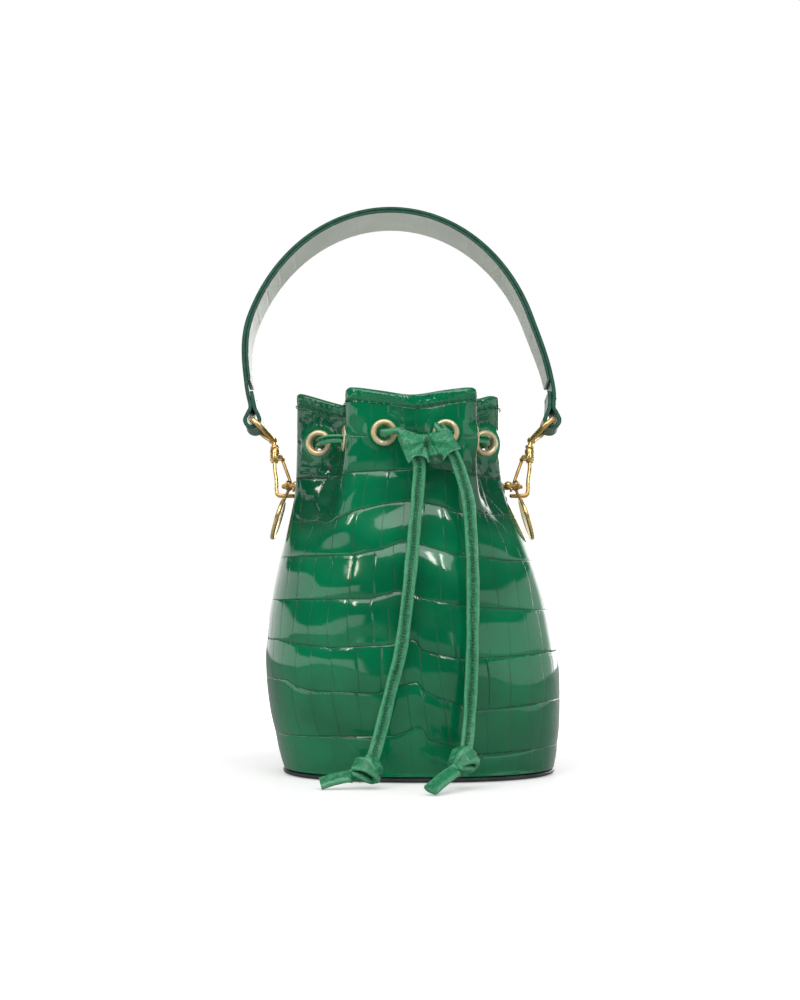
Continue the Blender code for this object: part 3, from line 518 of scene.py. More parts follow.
def body_at(height):
    return [np.interp(height, PROFILE_LINE[:, 0], PROFILE_LINE[:, column]) for column in (1, 2, 3)]


def neck_share(turn):
    """How far round from the front or back centre to the side, and which side and half that is."""
    turn = np.mod(turn, 1.0)
    left = turn <= 0.5
    share = np.where(left, turn, 1.0 - turn) / 0.25
    back = share > 1.0
    return np.where(back, 2.0 - share, share), left, back


def neck_at(turn):
    """Neck outline at a turn: 0 front, 0.25 left, 0.5 back, 0.75 right."""
    share, left, back = neck_share(turn)
    found = []
    for axis in range(3):
        on_left = np.interp(share, LEFT_QUARTER[0], LEFT_QUARTER[1][:, axis])
        on_right = np.interp(share, RIGHT_QUARTER[0], RIGHT_QUARTER[1][:, axis])
        found.append(np.where(left, on_left, on_right))
    return found[0], np.where(back, -found[1], found[1]), found[2]


def skin(turn, height):
    """Points of the body's outer surface."""
    turn, height = np.broadcast_arrays(np.asarray(turn, float), np.asarray(height, float))
    half_width, half_depth, middle = body_at(height)
    angle = 2 * math.pi * turn
    power = 2 / OVAL_POWER
    side, front = np.sin(angle), np.cos(angle)
    oval_x = middle - half_width * np.sign(side) * np.abs(side) ** power
    oval_y = -half_depth * np.sign(front) * np.abs(front) ** power
    neck_x, neck_y, _ = neck_at(turn)
    share = smoothstep(GATHER_START, GATHER_END, height)
    x, y = oval_x + (neck_x - oval_x) * share, oval_y + (neck_y - oval_y) * share
    return np.stack([x, y, height], axis=-1)


def outward(turn, height):
    around = skin(turn + 0.002, height) - skin(turn - 0.002, height)
    upward = skin(turn, height + 0.001) - skin(turn, height - 0.001)
    return unit(np.cross(upward, around))


def level_at(turn, level):
    """Heights follow the wavy rim near the top."""
    return level + (neck_at(turn)[2] - RIM_LEVEL) * smoothstep(0.135, RIM_LEVEL, level)


def eyelet_seats():
    """The twelve eyelets from the front left round the back to the front right: point and normal."""
    left = [share * 0.25 for share in EYELET_LEFT]
    right = [1 - share * 0.25 for share in EYELET_RIGHT]
    levels = list(EYELET_LEVELS)
    turns = left + [0.5 - turn for turn in reversed(left)]
    turns += [1.5 - turn for turn in right] + list(reversed(right))
    heights = levels + levels[::-1] + levels + levels[::-1]
    return [(skin(turn, height), outward(turn, height)) for turn, height in zip(turns, heights)]


EYELETS = eyelet_seats()


def press_flat(points, depth):
    """Leather presses flat under each eyelet: the moved points and how strongly each is pressed."""
    points = points.copy()
    pressed = np.zeros(points.shape[:-1])
    for seat, normal in EYELETS:
        offset = points - seat
        along = offset @ normal
        away = np.linalg.norm(offset - normal * along[..., None], axis=-1)
        pull = 1 - smoothstep(FLAT_NEAR, FLAT_FAR, away)
        pull = np.where(np.abs(along + depth) < 0.006, pull, 0.0)
        points -= normal * ((along + depth) * pull)[..., None]
        pressed = np.maximum(pressed, pull)
    return points, pressed


# ---------------------------------------------------------------- materials

def srgb(red, green, blue):
    """A colour given as 0 to 255 per channel, in linear light."""
    values = np.array([red, green, blue]) / 255
    linear = np.where(values < 0.04045, values / 12.92, ((values + 0.055) / 1.055) ** 2.4)
    return (*linear.tolist(), 1.0)


class Signal:
    """A value in a node tree, so that node maths reads as plain arithmetic."""

    def __init__(self, nodes, socket):
        self.nodes, self.socket = nodes, socket

    def __add__(self, other):
        return self.nodes.math("ADD", self, other)

    def __sub__(self, other):
        return self.nodes.math("SUBTRACT", self, other)

    def __rsub__(self, other):
        return self.nodes.math("SUBTRACT", other, self)

    def __mul__(self, other):
        return self.nodes.math("MULTIPLY", self, other)

    def __pow__(self, other):
        return self.nodes.math("POWER", self, other)

    def __abs__(self):
        return self.nodes.math("ABSOLUTE", self)


class Nodes:
    """Short calls for building a node tree."""

    def __init__(self, tree):
        self.tree = tree

    def put(self, socket, value):
        if isinstance(value, Signal):
            self.tree.links.new(value.socket, socket)
        else:
            socket.default_value = value

    def out(self, output, kind, values=None, **settings):
        """One output of a new node."""
        return Signal(self, self.add(kind, values, **settings).outputs[output])

    def outputs(self, kind, values=None):
        """Every output of a new node, by name."""
        return {socket.name: Signal(self, socket) for socket in self.add(kind, values).outputs}

    def add(self, kind, values=None, **settings):
        node = self.tree.nodes.new("ShaderNode" + kind)
        for key, value in settings.items():
            setattr(node, key, value)
        for key, value in (values or {}).items():
            self.put(node.inputs[key], value)
        return node

    def math(self, operation, first, second=0.0):
        return self.out(0, "Math", {0: first, 1: second}, operation=operation)

    def step(self, value, low, high, to_low=0.0, to_high=1.0):
        values = {"Value": value, "From Min": low, "From Max": high}
        values.update({"To Min": to_low, "To Max": to_high})
        return self.out(0, "MapRange", values, interpolation_type="SMOOTHSTEP")


class Graph(Nodes):
    """A material's node graph with short calls for what these materials share."""

    def __init__(self, name, roughness, metallic=0.0, coat=0.0, coat_roughness=0.03, specular=0.5):
        self.material = bpy.data.materials.new(name)
        self.material.use_nodes = True
        super().__init__(self.material.node_tree)
        self.shader = self.tree.nodes["Principled BSDF"]
        self.shader.inputs["Roughness"].default_value = roughness
        self.shader.inputs["Metallic"].default_value = metallic
        self.shader.inputs["Coat Weight"].default_value = coat
        self.shader.inputs["Coat Roughness"].default_value = coat_roughness
        self.shader.inputs["Specular IOR Level"].default_value = specular
        self.place = self.out("Object", "TexCoord")

    def attribute(self, name):
        return self.out("Fac", "Attribute", attribute_name=name)

    def noise(self, scale, detail=2.0, roughness=0.5, vector=None):
        values = {"Vector": vector or self.place, "Scale": scale}
        values.update({"Detail": detail, "Roughness": roughness})
        return self.out(0, "TexNoise", values)

    def cracks(self, scale):
        values = {"Vector": self.place, "Scale": scale}
        return self.out("Distance", "TexVoronoi", values, feature="DISTANCE_TO_EDGE")

    def stretched(self, x, y, z):
        values = {0: self.place, 1: (x, y, z)}
        return self.out(0, "VectorMath", values, operation="MULTIPLY")

    def mix(self, share, first, second):
        return self.out(2, "Mix", {0: share, 6: first, 7: second}, data_type="RGBA")

    def bump(self, height, distance, strength=1.0, normal=None):
        values = {"Height": height, "Distance": distance, "Strength": strength}
        if normal is not None:
            values["Normal"] = normal
        return self.out(0, "Bump", values)

    def finish(self, colour, normal=None, roughness=None, coat_normal=None):
        self.put(self.shader.inputs["Base Color"], colour)
        if normal is not None:
            self.put(self.shader.inputs["Normal"], normal)
        if coat_normal is not None:
            self.put(self.shader.inputs["Coat Normal"], coat_normal)
        if roughness is not None:
            self.put(self.shader.inputs["Roughness"], roughness)
        return self.material


def near_whole(graph, phase, width):
    """Distance to the nearest whole value of a phase, in metres."""
    off = abs(phase - graph.math("ROUND", phase))
    return off * width


def patent_leather(name, bright, deep, groove):
    """Crocodile-embossed patent leather: the creases come from values stored on the mesh. Their lines
    and the neck's small-scaled wings are darkened with painted shade.
    """
    graph = Graph(name, 0.14, coat=0.85, coat_roughness=0.015, specular=0.5)
    ragged = graph.noise(700, 4, 0.6) - 0.5
    cell = near_whole(graph, graph.attribute("cell"), graph.attribute("cell_width"))
    row = near_whole(graph, graph.attribute("row"), graph.attribute("row_height"))
    cell = cell + ragged * 0.00034
    row = row + ragged * 0.00045
    scale = graph.attribute("scale_edge") + ragged * 0.00030
    cell_line = graph.step(cell, 0.00003, 0.00024, 1.0, 0.0)
    cell_line = cell_line * graph.attribute("crease_strength")
    row_line = graph.step(row, 0.00004, 0.00030, 1.0, 0.0)
    row_line = row_line * graph.attribute("row_strength")
    scale_line = graph.step(scale, 0.00006, 0.00034, 1.0, 0.0)
    scale_line = scale_line * graph.attribute("small_scales")
    line = graph.math("MAXIMUM", graph.math("MAXIMUM", cell_line, row_line), scale_line)
    tone = graph.mix(graph.step(graph.noise(24, 3), 0.35, 0.68), bright, deep)
    spots = graph.step(graph.noise(420, 4), 0.62, 0.80, 0.0, 0.25)
    tone = graph.mix(spots, tone, deep)
    # Painted shade: the small-scaled wings beside the neck's folds are darkened towards the groove
    # colour.
    tone = graph.mix(graph.attribute("small_scales") * 0.45, tone, groove)
    # Painted shade: the lines of the rows, the creases and the scale borders are darkened towards the
    # groove colour.
    colour = graph.mix(line * 0.85, tone, groove)
    pores = graph.noise(1100, 3, 0.6)
    waves = graph.noise(120, 2)
    height = waves * 0.30 - line * 0.5
    height = height + pores * 0.05
    normal = graph.bump(height, 0.00016)
    ticks = graph.step(graph.noise(1.0, 2, 0.5, graph.stretched(800, 800, 55)), 0.60, 0.70)
    near_row = graph.step(row, 0.0004, 0.0026, 1.0, 0.0)
    ticks = ticks * near_row
    normal = graph.bump(ticks, 0.00009, 0.8, normal)
    dull = graph.step(graph.noise(150, 3), 0.3, 0.8, 0.08, 0.18)
    roughness = line * 0.35 + dull
    return graph.finish(colour, normal, roughness, coat_normal=normal)


def smooth_leather(
    name, colour, worn, roughness, coat=0.25, grain=1500, depth=0.00010, shade=0.45, edge_paint=None
):
    """Leather with a fine pebble grain, paler worn patches at random, and painted shade in the grain's
    valleys that leaves what stands proud paler.
    """
    graph = Graph(name, roughness, coat=coat, coat_roughness=0.22)
    pebbles = graph.cracks(grain)
    fine = graph.noise(grain * 1.6, 4, 0.6)
    broad = graph.noise(90, 3)
    tone = graph.mix(graph.step(broad, 0.35, 0.7), colour, worn)
    # Painted shade: the pebble grain's valleys are darkened towards a deep copy of the colour, by the
    # share given as shade.
    valley_shade = graph.step(pebbles, 0.0, 0.10, shade, 0.0)
    dark = tuple(channel * 0.35 for channel in colour[:3]) + (1.0,)
    tone = graph.mix(valley_shade, tone, dark)
    if edge_paint:
        tone = graph.mix(graph.step(graph.attribute("edge"), 0.45, 0.75), tone, edge_paint)
    height = graph.step(pebbles, 0.0, 0.35) + fine * 0.5
    rough = graph.step(fine, 0.3, 0.8, roughness - 0.08, roughness + 0.12)
    return graph.finish(tone, graph.bump(height, depth), rough)


WHIP_PITCH = 0.0014


def cord_leather(name):
    """The cord's crinkled leather: a folded strip with a rough seam that catches specks of light.
    Painted shade darkens its crinkles and in part its seam, and a painted highlight lies on its raised
    edges.
    """
    graph = Graph(name, 0.30, coat=0.6, coat_roughness=0.10)
    seam = graph.attribute("seam")
    edge = graph.attribute("edge")
    crinkle = graph.noise(640, 4, 0.6)
    wrinkle = graph.cracks(900)
    fine = graph.noise(2400, 4, 0.65)
    tone = graph.mix(graph.step(crinkle, 0.34, 0.70), srgb(16, 128, 82), srgb(50, 162, 110))
    # Painted shade: the tone darkens along the cracks of the crinkles.
    tone = graph.mix(graph.step(wrinkle, 0.0, 0.08, 0.35, 0.0), tone, srgb(0, 66, 42))
    # Painted highlight: the cords' raised edges are painted paler; the slider's lip gets the same
    # colour.
    tone = graph.mix(edge * 0.6, tone, srgb(120, 192, 152))
    specks = graph.step(graph.noise(1300, 3), 0.42, 0.58)
    beat = graph.math("FRACT", graph.attribute("along") * (1 / WHIP_PITCH))
    marks = graph.step(abs(beat - 0.5), 0.16, 0.30)
    specks = graph.math("MAXIMUM", specks * 0.6, marks)
    # The seam darkens, partly as painted shade in its sunken groove, more at specks and whip marks; the
    # same value carries the slider's painted shade.
    tone = graph.mix(seam * graph.step(specks, 0.0, 1.0, 0.25, 0.85), tone, srgb(0, 54, 34))
    height = crinkle + graph.step(wrinkle, 0.0, 0.25) * 0.5
    height = height + fine * 0.3
    height = height - seam * specks * 0.6
    rough = graph.step(fine, 0.3, 0.75, 0.20, 0.38)
    normal = graph.bump(height, 0.00018)
    return graph.finish(tone, normal, rough, coat_normal=normal)


def strap_leather(name):
    """The handle's outer face: smooth embossed leather with stitching, and painted edges."""
    graph = Graph(name, 0.42, coat=0.08, coat_roughness=0.2, specular=0.28)
    edge = graph.attribute("edge")
    along = graph.attribute("along")
    across = graph.attribute("across")
    cell = near_whole(graph, graph.attribute("cell"), STRAP_CELL)
    wander = (graph.noise(900, 3) - 0.5) * 0.0004
    face = 1.0 - edge
    line = graph.step(cell + wander, 0.0002, 0.0005, 1.0, 0.0)
    line = line * face
    dash = graph.math("FRACT", along * STITCHES_PER_METRE)
    dash = graph.step(abs(dash - 0.5), 0.30, 0.38, 1.0, 0.0)
    beside = abs(abs(across) - STITCH_LINE)
    stitch = graph.step(beside, 0.0002, 0.0004, 1.0, 0.0) * dash
    stitch = stitch * face
    tone = graph.mix(graph.step(graph.noise(60, 3), 0.35, 0.7), srgb(6, 98, 66), srgb(2, 78, 54))
    # Painted shade: the embossed cell lines across the strap are darkened.
    tone = graph.mix(line * 0.85, tone, srgb(0, 34, 24))
    paint = graph.mix(graph.step(graph.noise(300, 4), 0.3, 0.75), srgb(14, 72, 56), srgb(30, 92, 72))
    tone = graph.mix(edge, tone, paint)
    tone = graph.mix(stitch, tone, srgb(30, 128, 88))
    height = stitch * 1.2 - line
    height = height + graph.noise(1200, 4, 0.6) * 0.2
    rough = graph.step(edge, 0.0, 1.0, 0.30, 0.40)
    return graph.finish(tone, graph.bump(height, 0.00020), rough)


def gold(name, roughness, light, deep, metallic):
    """Polished pale gold plate with hairline scratches and slightly duller patches."""
    graph = Graph(name, roughness, metallic=metallic)
    patches = graph.noise(90, 2)
    hair = graph.noise(1.0, 4, 0.7, graph.stretched(2600, 2600, 260))
    tone = graph.mix(graph.step(patches, 0.3, 0.75), light, deep)
    tarnish = graph.step(graph.noise(900, 4), 0.68, 0.86, 0.0, 0.12)
    tone = graph.mix(tarnish, tone, srgb(176, 130, 70))
    rough = graph.step(patches, 0.3, 0.8, roughness - 0.06, roughness + 0.10)
    return graph.finish(tone, graph.bump(hair, 0.000003), rough)


def woven(name, light, dark):
    """Plain-woven cotton: fine warp and weft with slubs."""
    graph = Graph(name, 0.85, specular=0.2)
    graph.shader.inputs["Sheen Weight"].default_value = 0.25
    warp = graph.noise(1.0, 2, 0.5, graph.stretched(3200, 3200, 260))
    weft = graph.noise(1.0, 2, 0.5, graph.stretched(260, 260, 3200))
    cloth = graph.math("MAXIMUM", warp, weft)
    tone = graph.mix(graph.step(cloth, 0.4, 0.75), dark, light)
    slubs = graph.step(graph.noise(260, 4), 0.55, 0.8, 0.0, 0.4)
    tone = graph.mix(slubs, tone, dark)
    return graph.finish(tone, graph.bump(cloth, 0.00012))


def paper_board(name):
    graph = Graph(name, 0.9, specular=0.2)
    fibres = graph.noise(900, 5, 0.7)
    tone = graph.mix(graph.step(fibres, 0.35, 0.7), srgb(150, 142, 128), srgb(186, 178, 162))
    return graph.finish(tone, graph.bump(fibres, 0.00010))


def floor_material():
    """Pale paper that glows to camera rays, faintly near the bag and fully further out, so it runs out
    to plain white and the shadow near the bag is lifted; in reflections it shows grey.
    """
    graph = Graph("pale_floor", 0.6, specular=0.2)
    split = graph.outputs("SeparateXYZ", {0: graph.place})
    reach = graph.math("SQRT", split["X"] ** 2.0 + split["Y"] ** 2.0)
    # Painted light: the floor glows for camera rays, which also lifts its shadow.
    glow = graph.step(reach, 0.10, 0.30, 0.36, 1.2)
    path = graph.outputs("LightPath")
    graph.put(graph.shader.inputs["Emission Strength"], glow * path["Is Camera Ray"])
    graph.shader.inputs["Emission Color"].default_value = (1, 1, 1, 1)
    tone = graph.mix(graph.noise(3, 2), srgb(226, 226, 226), srgb(230, 230, 230))
    return graph.finish(graph.mix(path["Is Glossy Ray"], tone, srgb(150, 150, 150)))


# The last colour is painted shade, for the groove lines and the small-scaled wings.
BODY_GREEN = patent_leather("body_leather_patent", srgb(0, 122, 78), srgb(0, 102, 64), srgb(4, 42, 30))
CORD_GREEN = cord_leather("cord_leather_crinkled")
STRAP_GREEN = strap_leather("strap_leather_embossed")
INSIDE_GREEN = smooth_leather("leather_back", srgb(20, 92, 66), srgb(44, 116, 86), 0.5)
SAGE = smooth_leather(
    "strap_lining_sage", srgb(208, 216, 204), srgb(216, 222, 212), 0.5,
    coat=0.1, grain=2600, depth=0.00002, shade=0.10, edge_paint=srgb(22, 80, 63),
)
CHARCOAL = smooth_leather("base_leather_charcoal", srgb(48, 62, 58), srgb(66, 80, 76), 0.42, 0.3, 1300)
GOLD = gold("gold_polished", 0.24, srgb(255, 226, 160), srgb(238, 194, 118), 0.86)
GOLD_PALE = gold("gold_pale", 0.34, srgb(255, 238, 200), srgb(255, 222, 168), 0.62)
GOLD_DULL = gold("gold_brushed", 0.32, srgb(246, 208, 134), srgb(216, 164, 86), 0.90)
SAND = woven("lining_cotton", srgb(186, 168, 140), srgb(150, 132, 104))
BOARD = paper_board("grey_board")
THREAD = smooth_leather("thread_green", srgb(10, 96, 64), srgb(30, 120, 84), 0.6, 0.0, 3200)


def add_piece(name, mesh, material, body=None, replaces=()):
    """A visible piece: it rides on a body, if one is given."""
    piece = bpy.data.objects.new(name, mesh)
    bpy.context.scene.collection.objects.link(piece)
    for each in material if isinstance(material, (list, tuple)) else (material,):
        piece.data.materials.append(each)
    if body:
        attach(piece, body)
    if replaces:
        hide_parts(*replaces)
    return piece


def paint(node, material):
    """The material of a model node that shows as it is."""
    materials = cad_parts[node].data.materials
    materials.clear()
    materials.append(material)


# ---------------------------------------------------------------- camera and hanging cord ends

CAMERA_PLACE = (-0.0093, -0.75, 0.0818)
CAMERA_PITCH = math.radians(3.75)
CAMERA_LENS = 55.4


def make_camera():
    data = bpy.data.cameras.new("camera")
    data.lens = CAMERA_LENS
    data.clip_start = 0.01
    camera = bpy.data.objects.new("camera", data)
    camera.location = CAMERA_PLACE
    camera.rotation_euler = (math.pi / 2 + CAMERA_PITCH, 0, 0)
    bpy.context.scene.collection.objects.link(camera)
    bpy.context.scene.camera = camera


def cord_section(width, thickness, seam_depth=0.0009, sides=32):
    """A folded strip with raised edges and a sunken seam: its outline, seam share and edge share."""
    angle = np.linspace(0, 2 * math.pi, sides, endpoint=False)
    across = 0.5 * width * np.sign(np.cos(angle)) * np.abs(np.cos(angle)) ** 0.85
    out = 0.5 * thickness * np.sign(np.sin(angle)) * np.abs(np.sin(angle)) ** 0.62
    seam = np.exp(-(across / (0.17 * width)) ** 4) * (out > 0)
    edge = smoothstep(0.26, 0.40, np.abs(across) / width) * (out > 0)
    out = out - seam_depth * np.exp(-(across / (0.16 * width)) ** 2) * (out > 0)
    return np.stack([across, out], axis=1), seam, edge


def cord_strip(name, line, facing, width, thickness, seed, spacing=0.0009, seam_share=1.0):
    """A leather cord with small irregularities in its width, its flatness and its twist."""
    rng = np.random.default_rng(seed)
    line = resample(line, spacing)
    outline, seam, edge = cord_section(width, thickness, 0.0009 * seam_share)
    run = run_of(line)
    sections = np.broadcast_to(outline, (len(line),) + outline.shape).copy()
    phases = rng.uniform(0, 2 * math.pi, 8)
    breadth = 1 + 0.035 * np.sin(run / 0.0063 + phases[0]) + 0.025 * np.sin(run / 0.0027 + phases[1])
    height = 1 + 0.06 * np.sin(run / 0.0048 + phases[2]) + 0.05 * np.sin(run / 0.0021 + phases[3])
    sections[..., 0] *= breadth[:, None]
    sections[..., 1] *= height[:, None]
    drift = 0.00022 * np.sin(run / 0.0075 + phases[4]) + 0.00012 * np.sin(run / 0.0031 + phases[5])
    sections[..., 0] += (drift[:, None] * seam)
    crumple = rng.normal(0, 0.00005, sections.shape[:2])
    sections[..., 1] += crumple
    facing = facing(line) if callable(facing) else facing
    points, faces = section_tube(line, sections, facing)
    slanted = run[:, None] + 0.7 * np.abs(outline[:, 0])[None, :]
    values = {
        "seam": np.tile(seam * seam_share, len(line)),
        "edge": np.tile(edge * 0.7, len(line)),
        "along": slanted.reshape(-1),
    }
    return mesh_from(name, points, faces, values, 50), line


def make_tail(side, route, centre, seed):
    """The hanging cord, carried on into its knot."""
    into = np.array(route[-1]) * 0.30 + np.array(centre) * 0.70
    line = spline(list(route) + [tuple(into)], 12)
    mesh, centres = cord_strip("tail_cord_" + side, line, (0, -1, 0), CORD_WIDTH, CORD_THICKNESS, seed)
    tail = add_piece("tail_cord_" + side, mesh, CORD_GREEN, None, ["tail_" + side])
    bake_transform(tail)
    return tail


# An overhand knot seen from the front, in knot radii: (right, forward, up) from its middle
KNOT_TURNS = (
    (0.15, 0.05, 1.15),
    (0.30, 0.45, 0.70),
    (0.58, 0.28, -0.05),
    (0.30, -0.40, -0.45),
    (-0.45, -0.48, -0.10),
    (-0.62, 0.15, 0.38),
    (-0.10, 0.70, 0.42),
    (0.52, 0.52, 0.05),
    (0.62, -0.10, -0.35),
    (0.10, -0.25, -0.52),
    (-0.25, 0.22, -0.42),
)


def make_knot(side, centre, tip, entry, mirror, seed):
    """A tightened overhand knot in the flat cord, with its square-cut end lying beyond it."""
    centre, tip = np.array(centre), np.array(tip)
    turns = np.array(KNOT_TURNS) * (mirror * 1.08, -1, 1) * KNOT_RADIUS * 0.98
    toward = unit(tip - centre)
    local = turns + centre
    local[0] = np.array(entry) * 0.65 + centre * 0.35
    leaving = centre + toward * KNOT_RADIUS * 0.85 + (0, -0.0004, -0.0006)
    path = np.vstack([local, leaving, (leaving + tip) / 2 + (0, 0, 0.0005), tip])
    line = spline(path, 10)

    def facing(points):
        away = points - centre
        share = smoothstep(0.8, 1.3, np.linalg.norm(away, axis=1) / KNOT_RADIUS)[:, None]
        upward = np.array((0.1, -0.55, 0.8))
        return unit(unit(away + 1e-6) * (1 - share) + upward * share)

    width, thickness = CORD_WIDTH * 1.10, CORD_THICKNESS * 0.76
    mesh, _ = cord_strip("knot_cord_" + side, line, facing, width, thickness, seed, 0.0007, 0.35)
    return add_piece("knot_cord_" + side, mesh, CORD_GREEN, "bag", ["knot_" + side])


# ---------------------------------------------------------------- embossed panels

def reference_ring(first, last, centre):
    """Turns, points and distances from a centre turn, round the body at the reference level."""
    fine = np.linspace(first, last, 2001)
    ring = skin(fine, REFERENCE_LEVEL)
    run = run_of(ring)
    return fine, ring, run - np.interp(centre, fine, run)


def front_pattern():
    """Row lines and upright creases of the front, as functions of the distance round the body."""
    _, ring, run = reference_ring(-0.25, 0.25, 0.0)
    order = np.argsort(ring[:, 0])
    order_x, order_arc = ring[order, 0], run[order]

    def arc_of(x):
        return np.interp(x, order_x, order_arc)

    rows = []
    for keys in FRONT_ROWS:
        keys = np.array(keys)
        arcs = arc_of(keys[:, 0])
        order = np.argsort(arcs)
        rows.append((arcs[order], keys[order, 1]))
    return rows, [np.sort(arc_of(np.array(xs))) for xs in FRONT_CREASES]


def back_pattern(rng):
    rows = []
    arcs = np.linspace(-0.11, 0.11, 9)
    for level in BACK_ROW_LEVELS:
        rows.append((arcs, level + rng.normal(0, 0.0011, len(arcs))))
    creases = []
    for _ in range(len(BACK_ROW_LEVELS) + 1):
        steps = rng.uniform(0.82, 1.18, 22) * CELL_PITCH
        creases.append(np.cumsum(steps) - steps.sum() / 2)
    return rows, creases


def filled_out(creases, reach, rng):
    """Creases carried on at the usual pitch beyond the listed ones."""
    found = list(creases)
    while found[0] > -reach:
        found.insert(0, found[0] - CELL_PITCH * rng.uniform(0.8, 1.1))
    while found[-1] < reach:
        found.append(found[-1] + CELL_PITCH * rng.uniform(0.8, 1.1))
    return np.array(found)


def row_line(arcs, keys, smoothing=0.0012):
    """A row line sampled at arcs, softened a little."""
    offsets = np.linspace(-smoothing, smoothing, 5)
    return np.mean([np.interp(arcs + offset, keys[0], keys[1]) for offset in offsets], axis=0)


def scale_edges(across, up, wide, tilt, rng):
    """Small irregular scales: distance to their nearest border, and the height of their faces."""
    tall = wide * 0.85
    columns = np.floor(across / wide).astype(int)
    rows = np.floor(up / tall).astype(int)
    table = rng.uniform(0, 1, (SCALE_TABLE, SCALE_TABLE, 5))
    nearest = np.full(across.shape, 9.0)
    second = np.full(across.shape, 9.0)
    face = np.zeros(across.shape)
    for shift in range(-2, 3):
        for lift in range(-2, 3):
            column, row = columns + shift, rows + lift
            spot = table[column % SCALE_TABLE, row % SCALE_TABLE]
            x = (column + 0.15 + 0.7 * spot[..., 0]) * wide
            z = (row + 0.15 + 0.7 * spot[..., 1]) * tall
            away = np.hypot(across - x, up - z)
            closer = away < nearest
            second = np.where(closer, nearest, np.minimum(second, away))
            lean = (spot[..., 2] - 0.5) * (across - x) + (spot[..., 3] - 0.5) * (up - z)
            face = np.where(closer, lean * tilt + (spot[..., 4] - 0.5) * 0.0002, face)
            nearest = np.where(closer, away, nearest)
    return 0.5 * (second - nearest), face


def band_shares(count):
    """Places across one band, close together near its grooves."""
    even = np.linspace(0, 1, count, endpoint=False)
    return even - 0.80 * np.sin(2 * math.pi * even) / (2 * math.pi)


def panel_bands(lines, creases, arcs, rng):
    """Each row of points between the row lines: its level, its place among bands and cells,
    the cells' sizes, how they tilt and how strong their creases are."""
    samples, columns = [], len(arcs)
    for band in range(len(lines) - 1):
        low, high = lines[band], lines[band + 1]
        marks = filled_out(creases[min(band, len(creases) - 1)], 0.115, rng)
        first = round((marks[len(marks) // 2]) / CELL_PITCH) - len(marks) // 2
        slant = rng.normal(0, 0.06)
        wobble = rng.uniform(0, 6)
        cell_tilt = rng.normal(0, 1, (len(marks) + 1, 3))
        crease_power = rng.uniform(0.45, 1.0, len(marks) + 1)
        shares = band_shares(14 if band < 5 else 20)
        if band == len(lines) - 2:
            shares = np.linspace(0, 1, 8)
        for place in shares:
            level = low + (high - low) * place
            shifted = arcs + slant * (place - 0.5) * (high - low)
            shifted = shifted + 0.00035 * np.sin(place * 4 + wobble + arcs / 0.009)
            number = np.interp(shifted, marks, np.arange(len(marks)))
            index = np.clip(number.astype(int), 0, len(marks) - 2)
            within = number - index
            width = marks[index + 1] - marks[index]
            tilt = cell_tilt[index]
            lean = tilt[:, 0] * (within - 0.5) + tilt[:, 1] * (place - 0.5)
            lean = lean * CELL_LEAN + tilt[:, 2] * CELL_STEP
            nearest = np.clip(np.round(number).astype(int), 0, len(marks))
            power = crease_power[nearest]
            if band in (0, len(lines) - 2):
                power = power * (0.35 if band == 0 else 0.0)
            phase = np.full(columns, band + place)
            samples.append((level, phase, number + first, width, high - low, lean, power))
    return [np.array(rows) for rows in zip(*samples)]


def rim_and_inside(turns):
    """The rows of points over the rounded rim and down the plain inside."""
    cap_rows, columns = [], len(turns)
    rim_height = level_at(turns, np.full(columns, RIM_LEVEL))
    rim_point, rim_normal = skin(turns, rim_height), outward(turns, rim_height)
    for part in (0.12, 0.35, 0.65, 0.88):
        lift = 0.0007 * math.sin(math.pi * part)
        cap_rows.append(rim_point - rim_normal * LEATHER * part + np.array((0, 0, lift)))
    inner_rows = []
    upper, lower = np.linspace(RIM_LEVEL, 0.145, 14), np.linspace(0.136, LEATHER_BOTTOM, 12)
    inner_levels = np.concatenate([upper, lower])
    for level in inner_levels:
        high = level_at(turns, np.full(columns, level))
        inner_point = skin(turns, high) - outward(turns, high) * LEATHER
        inner_rows.append(press_flat(inner_point, LEATHER)[0])
    return np.concatenate([np.array(cap_rows), np.array(inner_rows)])


def opened(points, faces):
    """The faces that are left once the eyelets' holes and the rings' slits are cut."""
    middles = 0.5 * (points[faces[:, 0]] + points[faces[:, 2]])
    keep = np.ones(len(faces), bool)
    for seat, axis in EYELETS:
        offset = middles - seat
        along = offset @ axis
        away = np.linalg.norm(offset - np.outer(along, axis), axis=1)
        keep &= ~((away < BARREL_RADIUS + 0.0003) & (np.abs(along) < 0.004))
    slit = np.abs(middles[:, 1]) < SLIT_WIDTH / 2
    slit &= np.abs(middles[:, 2] - RING_LEVEL) < SLIT_HEIGHT / 2
    keep &= ~slit
    return faces[keep]


